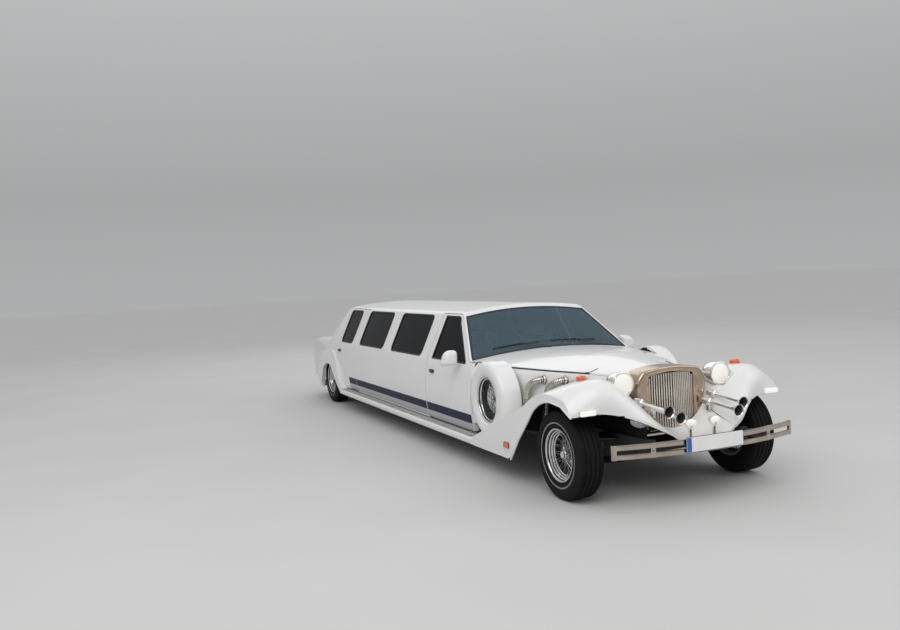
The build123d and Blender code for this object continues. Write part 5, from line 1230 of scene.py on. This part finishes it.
# Tail lamps: a bright ring round a stepped red lens, two a side
tail = {
    "x": -4.38, "y": 0.672, "z": (0.6, 0.728),
    "ring": [(-0.03, 0.0485), (0.001, 0.0515), (0.0065, 0.0512), (0.009, 0.0485), (0.0085, 0.0455),
             (0.002, 0.0435), (-0.03, 0.0435)],
    "lens": [(-0.03, 0.0), (-0.03, 0.043), (0.003, 0.043), (0.006, 0.0405), (0.0045, 0.038), (0.0075, 0.0345),
             (0.0065, 0.0315), (0.0095, 0.0275), (0.0085, 0.0245), (0.0115, 0.02), (0.0105, 0.017),
             (0.0135, 0.012), (0.0145, 0.0)],
}
tailShapes = []
for z in tail["z"]:
    spot = (tail["x"], tail["y"], z)
    tailShapes += [turned(tail["ring"], spot, (-1, 0, 0), 48, True),
                   turned(tail["lens"], spot, (-1, 0, 0), 48, mat=1)]
piece("tailLamps", "car_body", bothSides(*tailShapes), ["chrome", "red"], 34,
      stands=["tail_lamps"])

# Boot lid: a bright pull that droops by the square of Y, and a round lock
bootEnd = {
    "x": -4.3845, "half": 0.16, "z": 0.745, "droop": 0.05, "lockAt": (-4.384, 0.0, 0.69),
    "section": [(-0.012, -0.006), (0.012, -0.006), (0.012, 0.002), (0.007, 0.0075), (-0.007, 0.0075),
                (-0.012, 0.002)],
    "lock": [(-0.01, 0.0), (-0.01, 0.014), (0.003, 0.0135), (0.0065, 0.0105), (0.0045, 0.0075),
             (0.0045, 0.0)],
}
pullPath = [(bootEnd["x"], y, bootEnd["z"] - bootEnd["droop"] * y * y)
            for y in np.linspace(-bootEnd["half"], bootEnd["half"], 17)]
bootPull = sweep(pullPath, bootEnd["section"], (-1, 0, 0))
bootLock = turned(bootEnd["lock"], bootEnd["lockAt"], (-1, 0, 0), 28)
piece("bootPull", "boot", [bootPull, bootLock], ["chrome"], 40)

# Horn brackets and the clamps round the horn bodies
clamp = {
    "ring": [(-0.004, 0.0295), (-0.004, 0.033), (0.004, 0.033), (0.004, 0.0295)], "ahead": (0.03, 0.062),
    "dip": -0.08, "post": ((0.025, -0.008, -0.075), (0.067, 0.008, -0.026)),
}
clamps = []
for tailEnd, _ in horn["runs"]:
    spot = fromFront(tailEnd)
    clamps += [turned(clamp["ring"], spot + (x, 0, clamp["dip"] * x), (1, 0, clamp["dip"]), 32, True)
               for x in clamp["ahead"]]
    clamps.append(block(spot + clamp["post"][0], spot + clamp["post"][1]))
piece("hornBrackets", "car_body", bothSides(*clamps), ["chrome"], 40, 0.0015)
print("trim ready")

# Underside and running gear: the solids with eased edges
eased = {
    "front_frame": 0.004, "chassis_frame": 0.004, "rear_frame": 0.004, "floor_pan": 0.003,
    "wheel_houses": 0.002, "rear_axle": 0.003, "front_suspension": 0.003, "propeller_shaft": 0.003,
    "engine": 0.012, "exhaust": 0.003, "knuckle_left": 0.003, "knuckle_right": 0.003, "cabin_fittings": 0.006,
}
for node, width in eased.items():
    dressed(node, bevel=width)

# Bolts under the ends of the cross-members
boltHead = [(0.0, 0.0), (0.0, 0.011), (0.005, 0.011), (0.0065, 0.0095), (0.0065, 0.0)]
# underside of the rails, X of the cross-members there
members = [(0.388, (0.43, -0.43)), (0.278, (-1.29, -2.11, -2.95, -3.7325, -4.515, -5.2975, -6.08)),
           (0.458, (-6.48, -7.32)), (0.408, (-7.96,))]
bolts = []
for low, places in members:
    for spot in fromFront([(x + shift, y, low + 0.001) for x in places
                           for y in (0.425, 0.445) for shift in (-0.025, 0.025)]):
        bolts.append(turned(boltHead, spot, (0, 0, -1), 6))
piece("frameBolts", "car_body", bothSides(*bolts), ["steel"], 30)

# Engine: valve covers, air cleaner, fan with its pulley, and the hoses to the radiator
engine = {
    "rear": -1.38, "front": -0.52, "top": 0.88, "cover": (0.12, 0.27), "fins": 9, "drum": (-0.95, 0.145),
    "fan": (-0.46, 0.0, 0.66), "blades": 7,
    # a blade's corners: along it, across it, ahead
    "blade": [(0.04, -0.02, 0.0), (0.205, -0.03, 0.0), (0.2, 0.035, 0.028), (0.04, 0.02, 0.018)],
    "pulley": [(0.0, 0.0), (0.0, 0.05), (0.03, 0.05), (0.034, 0.03), (0.034, 0.0)],
    "topHose": [(-0.5, 0.06, 0.86), (-0.36, 0.06, 0.9), (-0.1, 0.1, 0.9), (0.06, 0.12, 0.88)],
    "lowHose": [(-0.5, -0.1, 0.56), (-0.3, -0.14, 0.55), (-0.05, -0.16, 0.6), (0.06, -0.16, 0.6)],
}


def valveCover():
    y0, y1 = engine["cover"]
    plan = [(y0, 0.0), (y0, 0.03), ((y0 + 0.006, 0.046), (y0 + 0.022, 0.05)), (y1 - 0.022, 0.05),
            ((y1 - 0.006, 0.046), (y1, 0.03)), (y1, 0.0), (y0, 0.0)]
    section = outline(plan, 4)[:-1]
    shapes = [slab([(fromAxle(engine["rear"]), y, engine["top"] + z) for y, z in section],
                   (engine["front"] - engine["rear"], 0, 0))]
    for x in np.linspace(engine["rear"] + 0.05, engine["front"] - 0.05, engine["fins"]):
        fin = [(y, z + 0.004) for y, z in section if z > 0.02]
        fin += [(y1 - 0.004, 0.02), (y0 + 0.004, 0.02)]
        shapes.append(slab([(fromAxle(x) - 0.004, y, engine["top"] + z) for y, z in fin], (0.008, 0, 0)))
    return shapes


drumX, drumR = engine["drum"]
drum = turned([(0.0, 0.0), (0.0, 0.06), (0.012, 0.06), (0.014, drumR), (0.02, drumR + 0.004),
               (0.05, drumR + 0.004),
               (0.056, drumR), (0.058, 0.05), (0.064, 0.018), (0.075, 0.016), (0.077, 0.0)],
              (fromAxle(drumX), 0, engine["top"] - 0.002), (0, 0, 1), 48)
piece("engineCovers", "car_body", bothSides(*valveCover()) + [drum], ["castAlloy"], 34, 0.002)
fanHub = fromFront(engine["fan"])
blades = [turned(engine["pulley"], fanHub - (0.02, 0, 0), (1, 0, 0), 24)]
for a in np.linspace(0, 2 * pi, engine["blades"], endpoint=False):
    axes = np.array([(0, cos(a), sin(a)), (0, -sin(a), cos(a)), (1, 0, 0)])
    blades.append(slab(fanHub + np.array(engine["blade"]) @ axes, (0.003, 0, 0)))
piece("engineFan", "car_body", blades, ["chassis"], 30)
hoses = [tube(bentPath(fromFront(engine[run]), 0.06, 0.012), 0.02, 14) for run in ("topHose", "lowHose")]
piece("hoses", "car_body", hoses, ["rubber"], 50)

# Dashboard: a walnut band, and instruments with bright bezels
wood = slab(fromFront([(-2.0528, -0.8, 0.845), (-2.0528, 0.8, 0.845), (-2.036, 0.8, 0.79),
                       (-2.036, -0.8, 0.79)]), (-0.003, 0, 0.001))
dials = []
for y, radius in ((0.47, 0.048), (0.33, 0.048), (0.405, 0.024), (0.04, 0.03), (-0.04, 0.03)):
    bezel = [(-0.004, 0.0), (-0.004, radius), (0.004, radius), (0.006, radius - 0.004),
             (0.003, radius - 0.006), (0.003, 0.0)]
    dials.append(turned(bezel, fromFront((-2.052, y, 0.886)), (-1, 0, 0.1), 32, mat=1))
piece("dashFace", "car_body", [wood] + dials, ["wood", "chrome"], 34)
print("engine and dashboard ready")

# Bar cabinet: walnut top and drawer fronts with bright pulls
bar = {"rear": -5.05, "front": -3.3, "wall": -0.8, "face": -0.47, "top": 0.85, "fronts": 5}
topEdge = [(bar["wall"], 0.0), (bar["wall"], 0.018), (bar["face"] + 0.006, 0.018),
           ((bar["face"] + 0.013, 0.015), (bar["face"] + 0.015, 0.009)),
           ((bar["face"] + 0.013, 0.003), (bar["face"] + 0.006, 0.0)), (bar["wall"], 0.0)]
barShapes = [slab([(fromAxle(bar["rear"]), y, bar["top"] + z) for y, z in outline(topEdge, 4)[:-1]],
                  (bar["front"] - bar["rear"], 0, 0))]
width = (bar["front"] - bar["rear"]) / bar["fronts"]
for i in range(bar["fronts"]):
    x0 = fromAxle(bar["rear"]) + width * i
    corner = (x0 + 0.012, bar["face"] - 0.002, 0.47)
    barShapes.append(block(corner, (x0 + width - 0.012, bar["face"] + 0.008, 0.83)))
    pull = [(x0 + width / 2 + a, bar["face"] + b, 0.79)
            for a, b in ((-0.05, 0.006), (-0.05, 0.028), (0.05, 0.028), (0.05, 0.006))]
    barShapes.append(tube(bentPath(pull, 0.012, 0.004), 0.0045, 10, mat=1))
piece("barCabinet", "car_body", barShapes, ["wood", "chrome"], 34, 0.002)

# Seats: sewn pads swollen by cloth pressure, then set on plain bases
pads = {
    # length, width, thickness; places of the sewn channels across the width
    "frontSeat": ((0.46, 0.49, 0.12), (-0.13, 0.0, 0.13)),
    "frontBack": ((0.46, 0.48, 0.1), (-0.13, 0.0, 0.13)),
    "headRest": ((0.12, 0.26, 0.075), ()), "sideSeat": ((0.34, 0.48, 0.12), (-0.12, 0.0, 0.12)),
    "sideBack": ((0.36, 0.48, 0.08), (-0.12, 0.0, 0.12)), "benchSeat": ((0.41, 0.42, 0.12), (-0.1, 0.0, 0.1)),
    "benchBack": ((0.33, 0.42, 0.095), (-0.1, 0.0, 0.1)),
}
padVoxel, padCap = 0.017, 0.024


def evaluatedMesh(obj):
    graph = bpy.context.evaluated_depsgraph_get()
    return bpy.data.meshes.new_from_object(obj.evaluated_get(graph))


def padObject(name, size):
    # A slightly smaller rounded block, remeshed evenly
    shape = bmesh.new()
    bmesh.ops.create_cube(shape, size=1.0)
    bmesh.ops.scale(shape, vec=[s - 0.024 for s in size], verts=shape.verts)
    bmesh.ops.bevel(shape, geom=shape.edges[:], offset=min(size) * 0.28, segments=3, affect="EDGES",
                    profile=0.5)
    mesh = bpy.data.meshes.new(name)
    shape.to_mesh(mesh)
    shape.free()
    obj = bpy.data.objects.new(name, mesh)
    bpy.context.scene.collection.objects.link(obj)
    even = obj.modifiers.new("even", "REMESH")
    even.mode = "VOXEL"
    even.voxel_size = padVoxel
    smooth = evaluatedMesh(obj)
    obj.modifiers.clear()
    obj.data = smooth
    return obj


def swell(objects):
    # All pads are blown up together; sewn channels and undersides are pinned, and no point moves past the cap
    rest = {}
    for name, obj in objects.items():
        (length, width, thick), channels = pads[name]
        points = np.empty(len(obj.data.vertices) * 3)
        obj.data.vertices.foreach_get("co", points)
        points = points.reshape(-1, 3)
        sewn = np.zeros(len(points), bool)
        stitched = (abs(points[:, 0]) < length / 2 - 0.05) & (points[:, 2] > 0)
        for y in channels:
            sewn |= (abs(points[:, 1] - y) < padVoxel * 0.55) & stitched
        sewn |= points[:, 2] < -thick / 2 + 0.02
        group = obj.vertex_groups.new(name="sewn")
        group.add(np.flatnonzero(sewn).tolist(), 1.0, "REPLACE")
        rest[name] = points
        cloth = obj.modifiers.new("pad", "CLOTH").settings
        cloth.use_pressure = True
        cloth.uniform_pressure_force = 4.0
        cloth.effector_weights.gravity = 0.0
        cloth.vertex_group_mass = "sewn"
        cloth.quality = 5
    for step in range(1, 21):
        bpy.context.scene.frame_set(step)
    for name, obj in objects.items():
        mesh = evaluatedMesh(obj)
        points = np.empty(len(mesh.vertices) * 3)
        mesh.vertices.foreach_get("co", points)
        shift = points.reshape(-1, 3) - rest[name]
        length = np.linalg.norm(shift, axis=1, keepdims=True)
        shift *= np.minimum(1.0, padCap / np.maximum(length, 1e-9))
        obj.modifiers.clear()
        obj.vertex_groups.clear()
        mesh.vertices.foreach_set("co", (rest[name] + shift).ravel())
        obj.data = mesh
    bpy.context.scene.frame_set(1)


padObjects = {name: padObject(name, size) for name, (size, channels) in pads.items()}
swell(padObjects)


def placed(name, kind, place, lean, facing, node=None):
    # A copy of a pad: leaned back about its own width, then turned to face along a direction
    mesh = padObjects[kind].data.copy()
    turn = Matrix.Rotation(radians(facing), 4, "Z") @ Matrix.Rotation(radians(-lean), 4, "Y")
    mesh.transform(Matrix.Translation(place) @ turn)
    obj = bpy.data.objects.new(name, mesh)
    bpy.context.scene.collection.objects.link(obj)
    assign(obj, finish["leather"])
    mesh.shade_smooth()
    rounder = obj.modifiers.new("round", "SUBSURF")
    rounder.levels = rounder.render_levels = 1
    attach(obj, "car_body")
    if node:
        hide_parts(node)
    return obj


for side, hand in sides:
    y = 0.4 * hand
    placed("frontSeat." + side, "frontSeat", (fromAxle(-2.325), y, 0.55), 4, 0,
           "front_seats" if side == "left" else None)
    placed("frontBack." + side, "frontBack", (fromAxle(-2.635), y, 0.845), 79, 0)
    placed("headRest." + side, "headRest", (fromAxle(-2.7), y, 1.128), 79, 0)
for i in range(4):
    x = -1.51 + 0.25 + 0.5 * i
    placed("sideSeat." + str(i), "sideSeat", (x, 0.5, 0.635), 3, -90, "lounge_seats" if i == 0 else None)
    placed("sideBack." + str(i), "sideBack", (x, 0.722, 0.87), 84, -90)
for i in range(3):
    y = 0.433 * (i - 1)
    placed("benchSeat." + str(i), "benchSeat", (fromAxle(-6.215), y, 0.72), 4, 0)
    placed("benchBack." + str(i), "benchBack", (fromAxle(-6.545), y, 0.93), 70, 0)
for obj in padObjects.values():
    bpy.data.objects.remove(obj)

# Bases under the seats and stiff shells behind them
frontBase = block(fromFront((-2.58, 0.16, 0.412)), fromFront((-2.13, 0.64, 0.502)))
frontShell = slab(fromFront([(-2.585, 0.165, 0.5), (-2.7, 0.165, 0.5), (-2.765, 0.165, 1.08),
                             (-2.74, 0.165, 1.08)]), (0, 0.47, 0))
sideBase = block((-1.5, 0.34, 0.412), (0.48, 0.78, 0.577))
sideShell = slab([(-1.5, 0.765, 0.57), (0.48, 0.765, 0.57), (0.48, 0.79, 0.57), (-1.5, 0.79, 0.57)],
                 (0, -0.01, 0.46))
benchBase = block(fromFront((-6.44, -0.64, 0.597)), fromFront((-6.01, 0.64, 0.667)))
benchShell = slab(fromFront([(-6.5, -0.64, 0.64), (-6.69, -0.64, 0.64), (-6.655, -0.64, 1.06),
                             (-6.62, -0.64, 1.06)]), (0, 1.28, 0))
seatBases = bothSides(frontBase, frontShell) + [sideBase, sideShell, benchBase, benchShell]
piece("seatBases", "car_body", seatBases, ["trim"], 30, 0.006)
print("seats ready")

# Camera, floor and lights
view = {"place": (9.707, -4.258, 1.814), "yaw": 22.514, "pitch": -2.609, "roll": -3.07, "lens": 34.85}
yaw, pitch, roll = (radians(view[key]) for key in ("yaw", "pitch", "roll"))
ahead = Vector((-cos(yaw) * cos(pitch), sin(yaw) * cos(pitch), sin(pitch)))
right = Vector((sin(yaw), cos(yaw), 0))
up = right.cross(ahead)
camRight = right * cos(roll) + up * sin(roll)
camUp = up * cos(roll) - right * sin(roll)
camera = bpy.data.objects.new("camera", bpy.data.cameras.new("camera"))
bpy.context.scene.collection.objects.link(camera)
turn = Matrix((camRight, camUp, -ahead)).transposed().to_4x4()
camera.matrix_world = Matrix.Translation(view["place"]) @ turn
camera.data.lens = view["lens"]
camera.data.sensor_width = 36
camera.data.clip_end = 200
bpy.context.scene.camera = camera

bpy.ops.mesh.primitive_plane_add(size=160)
floor = bpy.context.object
floor.name = "floor"
assign(floor, material("paleFloor", (0.56, 0.56, 0.55), rough=0.8, vary=0.02, grain=0.6))


def softLight(name, place, target, size, power):
    light = bpy.data.lights.new(name, "AREA")
    light.shape = "RECTANGLE"
    light.size, light.size_y = size
    light.energy = power
    obj = bpy.data.objects.new(name, light)
    bpy.context.scene.collection.objects.link(obj)
    obj.location = place
    obj.rotation_euler = (Vector(target) - Vector(place)).to_track_quat("-Z", "Y").to_euler()


softLight("keyLight", (8, -6, 9), (1, 0, 0.6), (11, 8), 490)
softLight("fillLight", (9, 8, 7), (1, 0, 0.6), (11, 8), 215)
softLight("tailLight", (-10, 3, 8), (-2, 0, 0.6), (12, 8), 190)
world = bpy.data.worlds.new("studio")
bpy.context.scene.world = world
world.use_nodes = True
worldNodes, worldLink = world.node_tree.nodes, world.node_tree.links.new
direction = worldNodes.new("ShaderNodeTexCoord")
height = worldNodes.new("ShaderNodeSeparateXYZ")
fade = worldNodes.new("ShaderNodeValToRGB")
worldLink(direction.outputs["Generated"], height.inputs["Vector"])
worldLink(height.outputs["Z"], fade.inputs["Fac"])
sky = {"strength": 0.76, "bands": [(0.0, 0.55), (0.1, 0.5), (0.22, 0.58), (0.7, 1.0)]}
for i, (position, grey) in enumerate(sky["bands"]):
    ramp = fade.color_ramp.elements
    band = ramp[0] if i == 0 else ramp[-1] if i == len(sky["bands"]) - 1 else ramp.new(position)
    band.position = position
    band.color = (grey, grey * 1.01, grey * 1.02, 1)
worldLink(fade.outputs["Color"], worldNodes["Background"].inputs["Color"])
worldNodes["Background"].inputs["Strength"].default_value = sky["strength"]
bpy.context.scene.view_settings.view_transform = "Standard"
